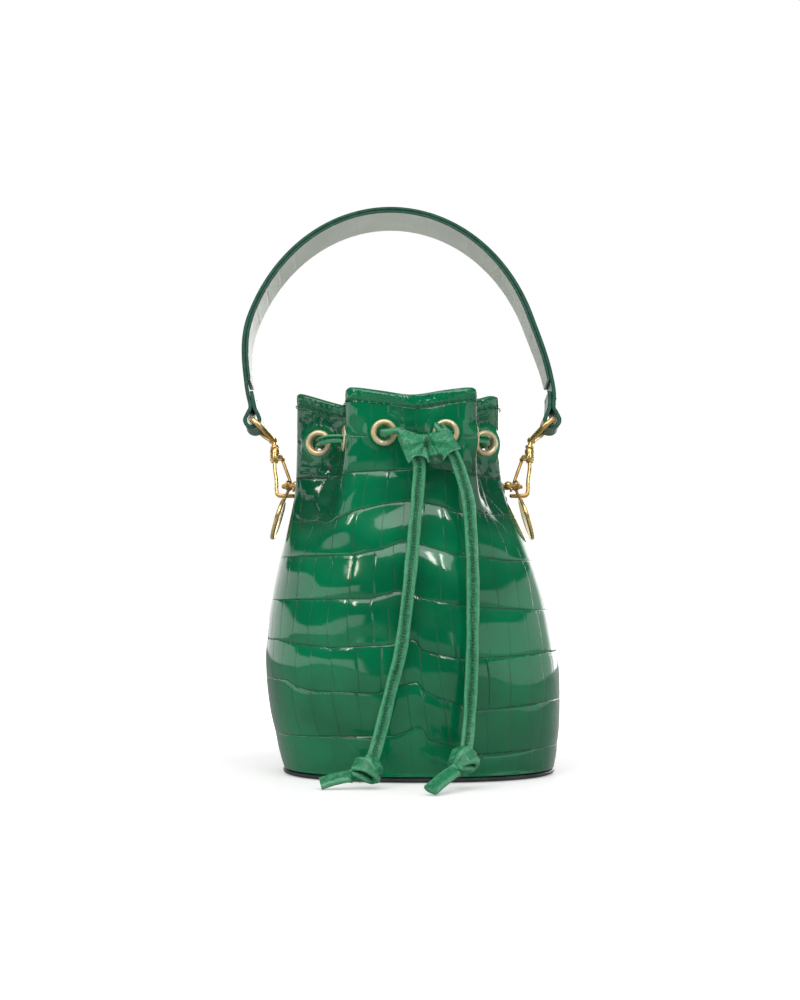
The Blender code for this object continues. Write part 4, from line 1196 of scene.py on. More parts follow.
def leather_panel(name, node, start, pattern, seed, columns=380):
    """Half of the body: embossed outside, plain inside, with a rounded rim."""
    rng = np.random.default_rng(seed)
    rows, creases = pattern
    turns = np.linspace(start + SEAM_INSET, start + 0.5 - SEAM_INSET, columns)
    fine, _, run = reference_ring(turns[0], turns[-1], start + 0.25)
    arcs = np.interp(turns, fine, run)
    lines = [np.full(columns, LEATHER_BOTTOM)]
    lines += [row_line(arcs, keys) for keys in rows]
    lines.append(np.full(columns, RIM_LEVEL))
    share = neck_share(turns)[0]

    samples = panel_bands(lines, creases, arcs, rng)
    levels, phases, cells, widths, heights, tilts, strengths = samples

    height = level_at(turns[None, :], levels)
    base, pressed = press_flat(skin(turns[None, :], height), 0.0)
    normal = outward(np.broadcast_to(turns[None, :], height.shape), height)

    around = np.broadcast_to(arcs[None, :], height.shape)
    small = smoothstep(0.30, 0.40, share)[None, :] * smoothstep(0.110, 0.124, levels)
    small = small * (1 - 0.5 * smoothstep(0.168, 0.174, levels))
    steps = np.linalg.norm(np.diff(base, axis=1), axis=2)
    local = np.concatenate([np.zeros((len(base), 1)), np.cumsum(steps, axis=1)], axis=1)
    wavy = levels + 0.0008 * np.sin(local / 0.004)
    fine_edge, fine_face = scale_edges(local + 0.3, wavy, RIM_SCALE, RIM_TILT, rng)
    wide_edge, wide_face = scale_edges(local + 0.3, wavy, WING_SCALE, WING_TILT, rng)
    near_rim = phases > len(lines) - 4
    edge = np.where(near_rim, fine_edge, wide_edge)
    facets = np.where(near_rim, fine_face, wide_face)

    cell_off = np.abs(cells - np.round(cells)) * widths
    row_off = np.abs(phases - np.round(phases)) * heights
    inside = phases - np.floor(phases)
    across_cell = cells - np.floor(cells)
    plain = 1 - small
    row_power = (1 - 0.25 * small) * (1 - 0.6 * smoothstep(0.168, 0.172, levels))
    rim_band = phases > len(lines) - 2
    relief = ROW_BULGE * np.sin(math.pi * np.clip(inside, 0, 1)) * (1 - 0.75 * small)
    rim_swell = ROW_BULGE * 0.5 * np.sin(math.pi * np.clip(inside, 0, 1)) ** 0.5
    relief = np.where(rim_band, rim_swell, relief)
    relief += plain * CELL_BULGE * np.sin(math.pi * across_cell) ** 0.6
    relief += plain * tilts
    relief -= ROW_GROOVE * row_power * np.exp(-(row_off / 0.00042) ** 2)
    relief -= CREASE_GROOVE * plain * strengths * np.exp(-(cell_off / 0.00040) ** 2)
    edge_on = smoothstep(0.60, 0.95, np.abs(normal[..., 0]))
    relief += small * (SCALE_STEP * smoothstep(0.0, 0.0008, edge) + facets * (1 - 0.6 * edge_on))
    lobes = np.cos(around / 0.0100 + 2.1 * np.floor(phases) + 1.2)
    relief += plain * LOBE_BULGE * np.sin(2 * math.pi * inside) * lobes
    swell = np.sin(around / 0.011 + 1.3 * np.sin(levels / 0.017))
    swell = swell * np.sin(levels / 0.013 + around / 0.03)
    relief += SWELL * swell * (0.4 + 0.6 * smoothstep(0.02, 0.06, levels))
    creased = np.sin(around / 0.0006 + 2.5 * np.sin(around / 0.0035)) * np.sin(levels / 0.0009)
    relief += rim_band * RIM_CREASES * creased
    hem = smoothstep(LEATHER_BOTTOM, LEATHER_BOTTOM + 0.0016, levels)
    relief -= RELIEF_DEPTH * (1 - smoothstep(0.168, 0.1770, levels))
    relief = relief * hem * (1 - pressed) * (1 - 0.75 * edge_on)
    clear = edge_on * smoothstep(0.096, 0.104, levels) * (1 - smoothstep(0.130, 0.138, levels))
    relief = relief * (1 - clear) - MEDALLION_DIP * clear
    outer = base + normal * relief[..., None]

    extra = rim_and_inside(turns)
    points = np.concatenate([outer, extra]).reshape(-1, 3)
    count = len(outer) + len(extra)
    faces = grid_faces(count, columns, wrap_rows=True)
    faces = side_caps(faces, len(outer), count, columns)

    faces = opened(points, faces)
    pad = np.zeros((len(extra), columns))
    far = np.full((len(extra), columns), 0.5)
    values = {
        "cell": np.concatenate([cells, far]),
        "cell_width": np.concatenate([widths, far]),
        "row": np.concatenate([phases, far + 20]),
        "row_height": np.concatenate([heights, far]),
        "row_strength": np.concatenate([row_power * hem * (1 - 0.7 * pressed), pad]),
        "crease_strength": np.concatenate([strengths * plain * hem * (1 - pressed), pad]),
        "small_scales": np.concatenate([small * (1 - pressed), pad]),
        "scale_edge": np.concatenate([edge, far]),
    }
    mesh = mesh_from(name, points, faces, {key: value.reshape(-1) for key, value in values.items()})
    return add_piece(name, mesh, BODY_GREEN, "bag", [node])


def side_caps(faces, outer_rows, rows, columns):
    """Closes both ends of a panel by joining its outside to its inside, row by row."""
    inner_first = outer_rows + 4
    found = [faces]
    for column in (0, columns - 1):
        outer_index = np.linspace(0, outer_rows - 1, rows - inner_first).astype(int)
        inner_index = np.arange(rows - 1, inner_first - 1, -1)
        a = outer_index[:-1] * columns + column
        b = outer_index[1:] * columns + column
        c = inner_index[1:] * columns + column
        d = inner_index[:-1] * columns + column
        found.append(np.stack([a, b, c, d], axis=1))
    return np.concatenate(found)


def rim_stitches(name, start, level=0.1733, spacing=0.0034):
    """A line of thread just under the rim, one short stitch after another."""
    turns = np.linspace(start + 0.002, start + 0.498, 900)
    height = level_at(turns, np.full(len(turns), level))
    line, _ = press_flat(skin(turns, height), 0.0)
    normal = outward(turns, height)
    line = line + normal * 0.00030
    run = run_of(line)
    parts = []
    for begin in np.arange(0.001, run[-1] - spacing, spacing):
        along = np.linspace(begin, begin + spacing * 0.72, 5)
        points, away = sampled(along, run, line), sampled(along, run, normal)
        arch = np.sin(np.linspace(0, math.pi, 5)) * 0.00028
        points = points + away * arch[:, None]
        taper = np.array([0.55, 0.9, 1.0, 0.9, 0.55])
        section = round_section(0.00028, 8)[None] * taper[:, None, None]
        parts.append(section_tube(points, section, away))
    return add_piece(name, joined(name, parts, None), THREAD, "bag")


def make_lining():
    """The loose cotton lining, a little rumpled, with a turned hem at its top."""
    columns = 360
    turns = np.linspace(0, 1, columns, endpoint=False)
    levels = np.concatenate([[PANEL_BOTTOM + BOARD_HEIGHT + GAP], np.linspace(0.012, LINING_TOP, 56)])
    depth = LEATHER + LINING_GAP
    sheets = []
    for wall, order in ((0.0, 1), (LINING, -1)):
        rows = []
        for level in levels[::order]:
            high = level_at(turns, np.full(columns, level))
            away = outward(turns, high)
            rumple = np.sin(turns * 61 + level / 0.008) * np.sin(level / 0.011 + 3 * np.sin(turns * 19))
            inward = depth + wall + 0.0004 * (1 + rumple) * smoothstep(0.01, 0.03, level)
            point = press_flat(skin(turns, high) - away * depth, depth)[0]
            rows.append(point - away * (inward - depth)[:, None])
        sheets += rows
    sheets[0][:, 2] = levels[0]
    sheets[-1][:, 2] = levels[0] + LINING
    floors = []
    for ring in (sheets[0], sheets[-1]):
        middle = ring.mean(axis=0)
        floors.append([middle + (ring - middle) * size for size in (0.8, 0.5, 0.15)])
    rows = floors[0][::-1] + sheets + floors[1]
    faces = tube_faces(len(rows), columns)
    points = np.concatenate(rows)
    middle = 0.5 * (skin(0.25, RING_LEVEL) + skin(0.75, RING_LEVEL))
    kept = []
    for face in faces:
        spot = points[face[0]]
        slit = abs(spot[1]) < SLIT_WIDTH / 2 and abs(spot[2] - RING_LEVEL) < 0.0030
        if len(face) > 4 or not slit or abs(spot[0] - middle[0]) < 0.02:
            kept.append(face)
    mesh = mesh_from("cotton_lining", points, kept)
    return add_piece("cotton_lining", mesh, SAND, "bag", ["lining"])


def make_base():
    """The base: a firm leather oval with an edge bead, standing on its flat underside."""
    columns = 220
    turns = np.linspace(0, 1, columns, endpoint=False)
    outline = (
        (0.0000, 0.0120), (0.0000, 0.0030), (0.0001, 0.0014), (0.0005, 0.0005), (0.0010, 0.0001),
        (0.0016, 0.0000), (0.0020, 0.0005), (0.0022, 0.0026), (0.0040, 0.0030), (0.0040, 0.0120),
    )
    edge_point = skin(turns, 0.004)
    away = outward(turns, 0.004) * (1, 1, 0)
    away = unit(away)
    rings = []
    for high, inset in outline:
        ring = edge_point - away * inset
        ring[:, 2] = high
        rings.append(ring)
    points = np.concatenate(rings)
    faces = tube_faces(len(rings), columns)
    mesh = mesh_from("base_oval", points, faces, None, 50)
    return add_piece("base_oval", mesh, CHARCOAL, "bag", ["base_panel"])


# ---------------------------------------------------------------- eyelets and drawstring

def make_eyelet(index, seat, normal, top):
    below = -LEATHER - GAP - 0.0009
    turn = np.linspace(0, math.pi, 15)
    middle, half = (EYELET_RADIUS + EYELET_HOLE) / 2, (EYELET_RADIUS - EYELET_HOLE) / 2
    crown = np.stack([middle - half * np.cos(turn), GAP + (top - GAP) * np.sin(turn)], axis=1)
    flange = np.vstack([(EYELET_HOLE, below), crown, (BARREL_RADIUS, GAP), (BARREL_RADIUS, below)])
    washer = rounded((
        (BARREL_RADIUS, -LEATHER - GAP - 0.0009),
        (BARREL_RADIUS, -LEATHER - GAP),
        (WASHER_RADIUS, -LEATHER - GAP),
        (WASHER_RADIUS, -LEATHER - GAP - WASHER_THICK),
    ), 0.0003, 3)
    number = f"{index + 1:02d}"
    parts = [lathe(flange, seat, normal, 56), lathe(washer, seat, normal, 48)]
    name = "eyelet_gold_" + number
    replaced = ["eyelet_" + number, "washer_" + number]
    add_piece(name, joined(name, parts, 60), GOLD_PALE, "bag", replaced)


def make_eyelets():
    """The eyelets on the folds' side walls sit flatter than the ones on the faces."""
    for index, (seat, normal) in enumerate(EYELETS):
        make_eyelet(index, seat, normal, GAP + (EYELET_FLAT if index % 3 == 1 else EYELET_CROWN))


def lace_route():
    """From inside the first eyelet round the back to inside the last, in and out of the eyelets."""
    route = []
    for index in range(11):
        first, second = EYELETS[index], EYELETS[index + 1]
        outside = index % 2 == 1
        lift = LACE_OUT if outside else -LACE_IN
        across = second[0] - first[0]
        span = np.linalg.norm(across)
        across = across / span
        if index > 0:
            route.append(first[0])
        start_at = 0.0045 if index == 0 else 0.0022
        end_at = 0.0045 if index == 10 else 0.0022
        route.append(first[0] + first[1] * lift + across * start_at)
        if span > 0.016:
            normal = unit(first[1] + second[1])
            route.append((first[0] + second[0]) / 2 + normal * lift * (1.0 if outside else 1.3))
        route.append(second[0] + second[1] * lift - across * end_at)
    return route


def from_middle(points):
    """Outwards from the neck's middle line, level."""
    away = points - np.array((NECK_MIDDLE_X, 0.0, 0.0))
    away[:, 2] = 0.0
    return unit(away)


def make_drawstring():
    line = spline(lace_route(), 10)
    width, thickness = 2.15 * LACE_RADIUS, 1.8 * LACE_RADIUS
    mesh, _ = cord_strip("drawstring_cord", line, from_middle, width, thickness, 31)
    add_piece("drawstring_cord", mesh, CORD_GREEN, "bag", ["drawstring_loop"])
    for side, seat, tunnel in (("left", EYELETS[0], TUNNEL_LEFT), ("right", EYELETS[11], TUNNEL_RIGHT)):
        point, normal = seat
        entry = np.array(tunnel[0])
        toward = unit((entry - point) * (1, 0, 0))
        start = point - normal * LACE_IN + toward * 0.0008
        outer = point + normal * LACE_OUT + toward * 0.0020
        down = unit(np.array(tunnel[1]) - entry)
        route = [start, point - normal * 0.0020, point + normal * 0.001]
        if side == "left":
            route += [outer, entry - down * 0.0010, entry + down * 0.0020]
        else:
            route += [entry - down * 0.0030, entry + down * 0.0020]
        line = spline(route, 10)
        name = "entry_cord_" + side
        width, thickness = 2.3 * LACE_RADIUS, 1.8 * LACE_RADIUS
        mesh, _ = cord_strip(name, line, (0.0, -0.4, 1.0), width, thickness, 37, 0.0007)
        piece = add_piece(name, mesh, CORD_GREEN, None, ["cord_entry_" + side])
        (point + normal * 0.001).tolist()
        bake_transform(piece)


# The slider's sleeve in the plane of its front: top and bottom edges from left to right
SLIDER_TOP = (
    (-0.0108, 0.1580), (-0.0086, 0.1594), (-0.0067, 0.1595), (-0.0028, 0.1580), (0.0012, 0.1576),
    (0.0050, 0.1582), (0.0080, 0.1597), (0.0114, 0.1603), (0.0140, 0.1588), (0.0158, 0.1556),
)
SLIDER_BOTTOM = (
    (-0.0100, 0.1552), (-0.0076, 0.1492), (-0.0054, 0.1446), (-0.0040, 0.1462), (-0.0022, 0.1476),
    (0.0006, 0.1477), (0.0026, 0.1464), (0.0036, 0.1446), (0.0070, 0.1444), (0.0104, 0.1458),
    (0.0124, 0.1484), (0.0150, 0.1500), (0.0184, 0.1512),
)
SLIDER_MIDDLE_Y = -0.0514
SLEEVE_FRONT = 0.0050
SLEEVE_BACK = 0.0034
SLEEVE_WALL = 0.0009
PINCH_X = 0.0026
PINCH_LEVEL = 0.1545


def make_slider():
    """The slider: a strip of leather sewn into two sleeves, with a pinched and stitched middle."""
    columns, rows = 110, 60
    share = np.linspace(0, 1, columns)
    edges = [spline(keys, 16) for keys in (SLIDER_TOP, SLIDER_BOTTOM)]
    at_top, at_bottom = [sampled(share, np.linspace(0, 1, len(edge)), edge) for edge in edges]
    down = np.linspace(0, 1, rows)[:, None, None]
    plane = at_top[None] * (1 - down) + at_bottom[None] * down
    x, z = plane[..., 0], plane[..., 1]

    def hump(tunnel, half):
        start, end = np.array(tunnel[0])[[0, 2]], np.array(tunnel[1])[[0, 2]]
        along = unit(end - start)
        offset = plane - start
        side = offset[..., 0] * along[1] - offset[..., 1] * along[0]
        return np.sqrt(np.clip(1 - (side / half) ** 2, 0, 1))

    t = np.linspace(0, 1, rows)[:, None]
    sleeves = np.maximum(hump(TUNNEL_LEFT, 0.0066), hump(TUNNEL_RIGHT, 0.0062))
    middle = 0.34 + 0.36 * smoothstep(0.35, 1.0, t)
    fullness = middle + (1 - middle) * sleeves
    closing = 0.22 + 0.78 * smoothstep(0.0, 0.34, t)
    edges = 0.30 + 0.70 * smoothstep(0.0, 0.10, share[None]) * smoothstep(0.0, 0.08, 1 - share[None])
    fullness = fullness * closing * edges
    from_pinch = np.hypot(x - PINCH_X, z - PINCH_LEVEL)
    turn = np.arctan2(z - PINCH_LEVEL, x - PINCH_X)
    folds = np.cos(9 * turn + 0.6 + 60 * from_pinch) * smoothstep(0.0012, 0.0045, from_pinch)
    folds = folds * (1 - smoothstep(0.007, 0.014, from_pinch)) * 0.00042
    crinkle = 0.00008 * np.sin(x / 0.00085 + 2 * np.sin(z / 0.0012))
    crinkle = crinkle + 0.00006 * np.sin(z / 0.0007 + x / 0.0011)
    front = SLIDER_MIDDLE_Y - SLEEVE_FRONT * fullness + crinkle - folds
    back = SLIDER_MIDDLE_Y + SLEEVE_BACK * fullness
    wall = np.minimum(SLEEVE_WALL, 0.45 * (back - front))
    outer = np.concatenate([np.stack([x, front, z], -1), np.stack([x, back, z], -1)[:, ::-1]], axis=1)
    inner_front, inner_back = np.stack([x, front + wall, z], -1), np.stack([x, back - wall, z], -1)
    inner = np.concatenate([inner_front, inner_back[:, ::-1]], axis=1)[::-1]
    lip = 0.5 * (outer[-1:] + inner[:1]) + np.array((0, 0, -0.0004))
    grid = np.concatenate([outer, lip, inner[:-4]])
    count, around = grid.shape[:2]
    faces = tube_faces(count, around)
    # Painted shade: the pinched middle, the bottom between the sleeves and the sleeves' inside are
    # darkened, stored with the cords' seam.
    pinch = np.exp(-((x - PINCH_X) / 0.0009) ** 2)
    pinch = pinch * smoothstep(0.10, 0.25, t) * (1 - smoothstep(0.6, 0.9, t))
    between = smoothstep(0.0034, 0.0040, x) * (1 - smoothstep(0.0098, 0.0106, x))
    between = between * smoothstep(0.74, 0.80, t)
    dark = np.concatenate([np.maximum(pinch, between), np.zeros_like(pinch)], axis=1)
    inside = np.ones((len(inner) - 4, around))
    dark = np.concatenate([dark, np.zeros((1, around)), inside])
    # The lip is painted paler, with the colour of the cords' painted edge highlight.
    pale = np.zeros((count, around))
    pale[rows - 2:rows + 1, :columns] = 1 - between[-1]
    values = {"seam": dark.reshape(-1), "edge": pale.reshape(-1)}
    mesh = mesh_from("slider_sleeve", grid.reshape(-1, 3), faces, values, 60)
    add_piece("slider_sleeve", mesh, CORD_GREEN, "slider", ["slider"])
    make_slider_stitches()


def make_slider_stitches():
    parts = []
    for step in range(5):
        z = 0.1496 + 0.0015 * step
        for lean in (-1, 1):
            x = PINCH_X + 0.0001 * step
            y = SLIDER_MIDDLE_Y - SLEEVE_FRONT * 0.52
            low, high = (x - 0.0009 * lean, y, z - 0.0007), (x + 0.0009 * lean, y, z + 0.0007)
            parts.append(wire([low, (x, y - 0.0004, z), high], 0.00022, sides=8))
    add_piece("slider_stitches", joined("slider_stitches", parts), THREAD, "slider")


# ---------------------------------------------------------------- handle and hardware

def side_limb(side):
    """The ring's inner limb, held inside the bag, and the way that points outwards."""
    away = -1 if side == "left" else 1
    return float(skin(0.25 if side == "left" else 0.75, RING_LEVEL)[0]) - away * RING_INSIDE, away


HANDLE_MIDDLE = 0.5 * (side_limb("left")[0] + side_limb("right")[0])


def leaned(across, width, height):
    """A point of the handle: across from its middle, along its width, above the ring line."""
    return leaned_all([(across, width, height)])[0]


def leaned_all(points):
    points = np.asarray(points, float)
    y = points[:, 1] * math.cos(HANDLE_LEAN) + points[:, 2] * math.sin(HANDLE_LEAN)
    twist = TWIST_LEFT + (1 - TWIST_LEFT) * smoothstep(TWIST_START, TWIST_END, points[:, 2])
    z = points[:, 2] * math.cos(HANDLE_LEAN) - points[:, 1] * math.sin(HANDLE_LEAN) * twist
    return np.stack([HANDLE_MIDDLE + points[:, 0], y, RING_LEVEL + z], axis=1)


def strap_half_path():
    """The strap's middle line from the top centre down the right side and round its pressed fold."""
    path = arc((0.0, ARCH_FOOT), ARCH_HALF, ARCH_RISE, 90, 0, 16)
    turn_out = FOLD_RADIUS + STRAP / 2
    layers = STRAP + GAP
    pinch = FOLD_LEVEL + 2 * turn_out
    path += [(FOLD_OUT + 0.0020, 0.0470), (FOLD_OUT + layers / 2, pinch)]
    path.append((FOLD_OUT + 0.0020, pinch - 0.0028))
    path += arc((FOLD_OUT, FOLD_LEVEL), turn_out, turn_out, 18, -198, 8)
    path += [(FOLD_OUT - 0.0020, pinch - 0.0028), (FOLD_OUT - layers / 2, pinch)]
    path.append((FOLD_OUT + 0.0021 - layers, FLAP_TOP))
    return path


def strap_outline(thickness, width, bead):
    """The strap's section as (out, across), with softened or beaded edges."""
    half, flat = width / 2, thickness / 2
    face = np.linspace(-1, 1, 13) * (half - 0.0010)
    upper = [(flat, across) for across in face]
    edge = [
        (flat + bead, half - 0.0006), (flat * 0.85 + bead, half - 0.0002), (0.0, half),
        (-flat * 0.85 - bead, half - 0.0002), (-flat - bead, half - 0.0006),
    ]
    lower = [(-flat, -across) for across in face]
    other = [(out, -across) for out, across in reversed(edge)]
    return np.array(upper + edge + lower + other)


def strap_band(name, path, thickness, width, bead, paint):
    """A flat strap with softened edges. It stores where along and across each point lies."""
    line = resample(spline(np.array(path), 8), 0.0006)
    run = run_of(line)
    ahead = unit(np.gradient(line, axis=0))
    aside = np.stack([-ahead[:, 1], ahead[:, 0]], axis=1)
    on_edge = np.array(([0.0] * 13 + [paint, 1.0, 1.0, 1.0, paint]) * 2)
    outline = strap_outline(thickness, width, bead)
    cell = run / STRAP_CELL
    groove = np.exp(-((cell - np.round(cell)) * STRAP_CELL / 0.0006) ** 2)
    points = []
    for index, place in enumerate(line):
        out = outline[:, 0] - np.sign(outline[:, 0]) * 0.00018 * groove[index] * (1 - on_edge)
        flat_points = place[None] + aside[index][None] * out[:, None]
        points.append(np.stack([flat_points[:, 0], outline[:, 1], flat_points[:, 1]], axis=1))
    points = np.concatenate(points)
    points[:, 0] -= SWAY * smoothstep(SWAY_START, SWAY_END, points[:, 2])
    points = leaned_all(points)
    sides = len(on_edge)
    faces = tube_faces(len(line), sides)
    values = {
        "edge": np.tile(on_edge, len(line)),
        "along": np.repeat(run, sides),
        "across": np.tile(outline[:, 1], len(line)),
        "cell": np.repeat(cell, sides),
    }
    return mesh_from(name, points, faces, values, 60)


def make_handle():
    half = strap_half_path()
    path = [(-x, z) for x, z in reversed(half[1:])] + half
    strap = strap_band("strap_outer", path, STRAP, HANDLE_WIDTH, 0.00012, 1.0)
    add_piece("strap_outer", strap, STRAP_GREEN, "handle", ["handle_strap"])
    thick = GAP + STRIP
    inset = STRAP / 2 + thick / 2 + 0.00008
    strip = arc((0.0, ARCH_FOOT), ARCH_HALF - inset, ARCH_RISE - inset, 180, 0, 32)
    lining = strap_band("strap_underside", strip, thick, HANDLE_WIDTH - 0.0002, 0.0, 0.35)
    add_piece("strap_underside", lining, SAGE, "handle", ["handle_lining"])
    make_fold_stitches()


def make_fold_stitches():
    """Rows of thread across both pressed folds, just above the eye."""
    parts = []
    for away in (-1, 1):
        for row in (0.0415, 0.0445):
            for step in range(7):
                across = (step - 3) * 0.0026
                out = FOLD_OUT + 0.0011 + STRAP / 2 + 0.0004 * (row > 0.043)
                points = [leaned(away * out, across + reach, row) for reach in (-0.0009, 0.0, 0.0009)]
                parts.append(wire(points, 0.00025, sides=8))
    add_piece("fold_stitches", joined("fold_stitches", parts), THREAD, "handle")


def hook_leg(side):
    limb, away = side_limb(side)
    return abs(limb + away * 2 * RING_RADIUS - HANDLE_MIDDLE) + HOOK_OUT, away


def part_way(start, end, share):
    return start[0] + (end[0] - start[0]) * share, start[1] + (end[1] - start[1]) * share


def make_eye(side):
    """The swivel eye: a bar through the strap's fold, a loop down to its collar, and a stud."""
    leg, away = hook_leg(side)
    half = HANDLE_WIDTH / 2 + 0.0018
    bar = (FOLD_OUT, FOLD_LEVEL)
    collar = (leg + HOOK_LEAN + 0.0014, EYE_COLLAR)
    wide, narrow = part_way(bar, collar, 0.48), part_way(bar, collar, 0.78)
    loop = [
        (bar[0], -half + 0.0010, bar[1]), (bar[0], 0.0, bar[1]), (bar[0], half - 0.0010, bar[1]),
        (bar[0] - 0.0008, half, bar[1] - 0.0007), (wide[0], half, wide[1]),
        (narrow[0], half * 0.6, narrow[1]), (collar[0], 0.0020, collar[1]),
        (collar[0], -0.0020, collar[1]), (narrow[0], -half * 0.6, narrow[1]),
        (wide[0], -half, wide[1]), (bar[0] - 0.0008, -half, bar[1] - 0.0007),
    ]
    points = [leaned(away * across, width, height) for across, width, height in loop]
    top = leaned(away * collar[0], 0, collar[1] + 0.0008)
    foot = leaned(away * (leg + HOOK_LEAN), 0, HOOK_BLOCK + 0.0029)
    length = float(np.linalg.norm(top - foot))
    profile = [(0.0, 0.0), (0.0019, 0.0), (0.0022, 0.0003), (0.0022, 0.0011), (0.0019, 0.0014)]
    profile += [(0.0013, 0.0015), (0.0013, length - 0.0026), (0.0019, length - 0.0022)]
    profile += [(0.0022, length - 0.0014)]
    profile += [(0.0019, length - 0.0005), (0.0011, length), (0.0, length)]
    parts = [wire(points, EYE_WIRE + 0.0002, closed=True), lathe(profile, foot, top - foot, 32)]
    name = "swivel_eye_gold_" + side
    add_piece(name, joined(name, parts), GOLD, "handle", ["swivel_eye_" + side])


def make_hook(side):
    """Snap hook: a banded block with a screw head, a slim leg and a foot with a rounded tip."""
    leg, away = hook_leg(side)
    tip = leg - HOOK_TIP
    route = [
        (leg + HOOK_LEAN, HOOK_BLOCK - 0.0030), (leg + HOOK_LEAN - 0.0002, 0.0090),
        (leg + 0.0003, 0.0030),
        (leg, -HOOK_DROP + 0.0022), (leg - 0.0008, -HOOK_DROP + 0.0005), (leg - 0.0024, -HOOK_DROP),
        (tip + 0.0012, -HOOK_DROP), (tip + 0.0004, -HOOK_DROP),
    ]
    points = [leaned(away * across, 0, height) for across, height in route]
    low = leaned(away * (leg + HOOK_LEAN), 0, HOOK_BLOCK - 0.0046)
    high = leaned(away * (leg + HOOK_LEAN), 0, HOOK_BLOCK + 0.0025)
    profile = [(0.0, 0.0), (0.0011, 0.0), (0.0018, 0.0004), (0.0019, 0.0010), (0.0023, 0.0013)]
    profile += [(0.0024, 0.0018), (0.0024, 0.0040), (0.0021, 0.0043), (0.0021, 0.0048)]
    profile += [(0.0024, 0.0051), (0.0024, 0.0064)]
    profile += [(0.0021, 0.0070), (0.0014, 0.0071), (0.0, 0.0071)]
    parts = [wire(points, HOOK_WIRE), lathe(profile, low, high - low, 36)]
    pivot = (leg - 0.0014, HOOK_BLOCK - 0.0022)
    front = leaned(away * pivot[0], -0.0016, pivot[1])
    back = leaned(away * pivot[0], -0.0027, pivot[1])
    disc = [(0.0, 0.0), (0.0014, 0.0), (0.0016, 0.0003), (0.0015, 0.0008), (0.0011, 0.0011)]
    disc += [(0.0009, 0.0008), (0.0, 0.0008)]
    parts.append(lathe(disc, front, back - front, 28))
    for end in (-1, 1):
        near = leaned(away * (leg - 0.0002), end * 0.0014, pivot[1])
        far = leaned(away * (leg - 0.0030), end * 0.0014, pivot[1] - 0.0004)
        parts.append(wire([near, (near + far) / 2, far], 0.0006, sides=10))
    name = "hook_gold_" + side
    add_piece(name, joined(name, parts), GOLD, "hook_" + side, ["hook_" + side])


def make_gate(side):
    leg, away = hook_leg(side)
    start = (leg - 0.0022, HOOK_BLOCK - 0.0024)
    end = (leg - GATE_REACH, -HOOK_DROP + GATE_LIFT)
    middle = ((start[0] + end[0]) / 2, (start[1] + end[1]) / 2)
    points = [leaned(away * across, 0, height) for across, height in (start, middle, end)]
    ahead = points[2] - points[0]
    length = float(np.linalg.norm(ahead))
    knuckle = [(0.0, -0.0011), (0.0008, -0.0009), (0.0011, 0.0), (0.0008, 0.0009), (0.0, 0.0011)]
    bar = [(0.0, 0.0), (0.0008, 0.0001), (0.0008, 0.5 * length), (0.0006, 0.9 * length)]
    bar += [(0.0007, 0.92 * length), (0.0007, 0.96 * length), (0.0005, length), (0.0, length)]
    parts = [lathe(bar, points[0], ahead, 24), lathe(knuckle, points[0], (0, 1, 0), 24)]
    name = "gate_gold_" + side
    add_piece(name, joined(name, parts), GOLD_DULL, "gate_" + side, ["gate_" + side])


def make_ring(side):
    limb, away = side_limb(side)
    centre = limb + away * RING_RADIUS
    points = []
    for step in range(24):
        angle = 2 * math.pi * step / 24
        out, forward = RING_RADIUS * math.cos(angle), RING_RADIUS * math.sin(angle)
        points.append((centre + out, forward, RING_LEVEL))
    out = away * RING_RADIUS * math.cos(BALL_PLACE)
    place = (centre + out, -RING_RADIUS * math.sin(BALL_PLACE), RING_LEVEL)
    turn = np.linspace(-math.pi / 2, math.pi / 2, 13)
    ball = np.stack([BALL_RADIUS * np.cos(turn), BALL_RADIUS * np.sin(turn)], axis=1)
    ball[0, 0] = ball[-1, 0] = 0.0
    parts = [wire(points, RING_WIRE, closed=True, sides=20), lathe(ball, place, (1, 0, 0), 28)]
    mesh = joined("ring_gold_" + side, parts)
    add_piece("ring_gold_" + side, mesh, GOLD, "ring_" + side, ["ring_" + side])


def make_medallion(side):
    """A plain round plate with a raised rim, hanging from its loop."""
    limb, away = side_limb(side)
    centre = limb + away * RING_RADIUS
    out = away * RING_RADIUS * math.cos(MEDALLION_PLACE)
    forward = RING_RADIUS * math.sin(MEDALLION_PLACE)
    hang = np.array((centre + out, -forward, RING_LEVEL))
    along = np.array((away * math.sin(MEDALLION_PLACE), math.cos(MEDALLION_PLACE), 0))
    down = np.array((away * math.sin(MEDALLION_LEAN), 0, -math.cos(MEDALLION_LEAN)))
    face = np.array((math.cos(MEDALLION_LEAN), 0, away * math.sin(MEDALLION_LEAN)))
    middle = hang + down * (BAIL_RADIUS + MEDALLION_DROP + MEDALLION_RADIUS)
    half, rim = MEDALLION_THICK / 2, MEDALLION_RADIUS
    upper = [(0.0, half - 0.0004), (rim - 0.0026, half - 0.0004), (rim - 0.0021, half - 0.0002)]
    upper += [(rim - 0.0017, half), (rim - 0.0007, half), (rim - 0.0002, half - 0.0003)]
    upper += [(rim, half - 0.0007)]
    lower = [(radius, -height) for radius, height in reversed(upper)]
    upward = np.array((0.0, 0.0, 1.0))
    radial = np.cross(along, upward)
    loop = []
    for step in range(12):
        turn = 2 * math.pi * step / 12
        loop.append(hang + BAIL_RADIUS * (math.cos(turn) * radial + math.sin(turn) * upward))
    stem_top = hang - upward * BAIL_RADIUS
    stem_end = middle - down * (rim - 0.0008)
    parts = [lathe(upper + lower, middle, face, 64), wire(loop, BAIL_WIRE, closed=True, sides=12)]
    parts.append(wire([stem_top, (stem_top + stem_end) / 2, stem_end], 0.0007, sides=12))
    name = "medallion_gold_" + side
    add_piece(name, joined(name, parts), GOLD, "medallion_" + side, ["medallion_" + side])


# ---------------------------------------------------------------- stage, light

FLOOR_CORNERS = ((-1, -1), (1, -1), (1, 1), (-1, 1))
FLOOR_HALF = 6.0
FLOOR_LEVEL = -0.0002


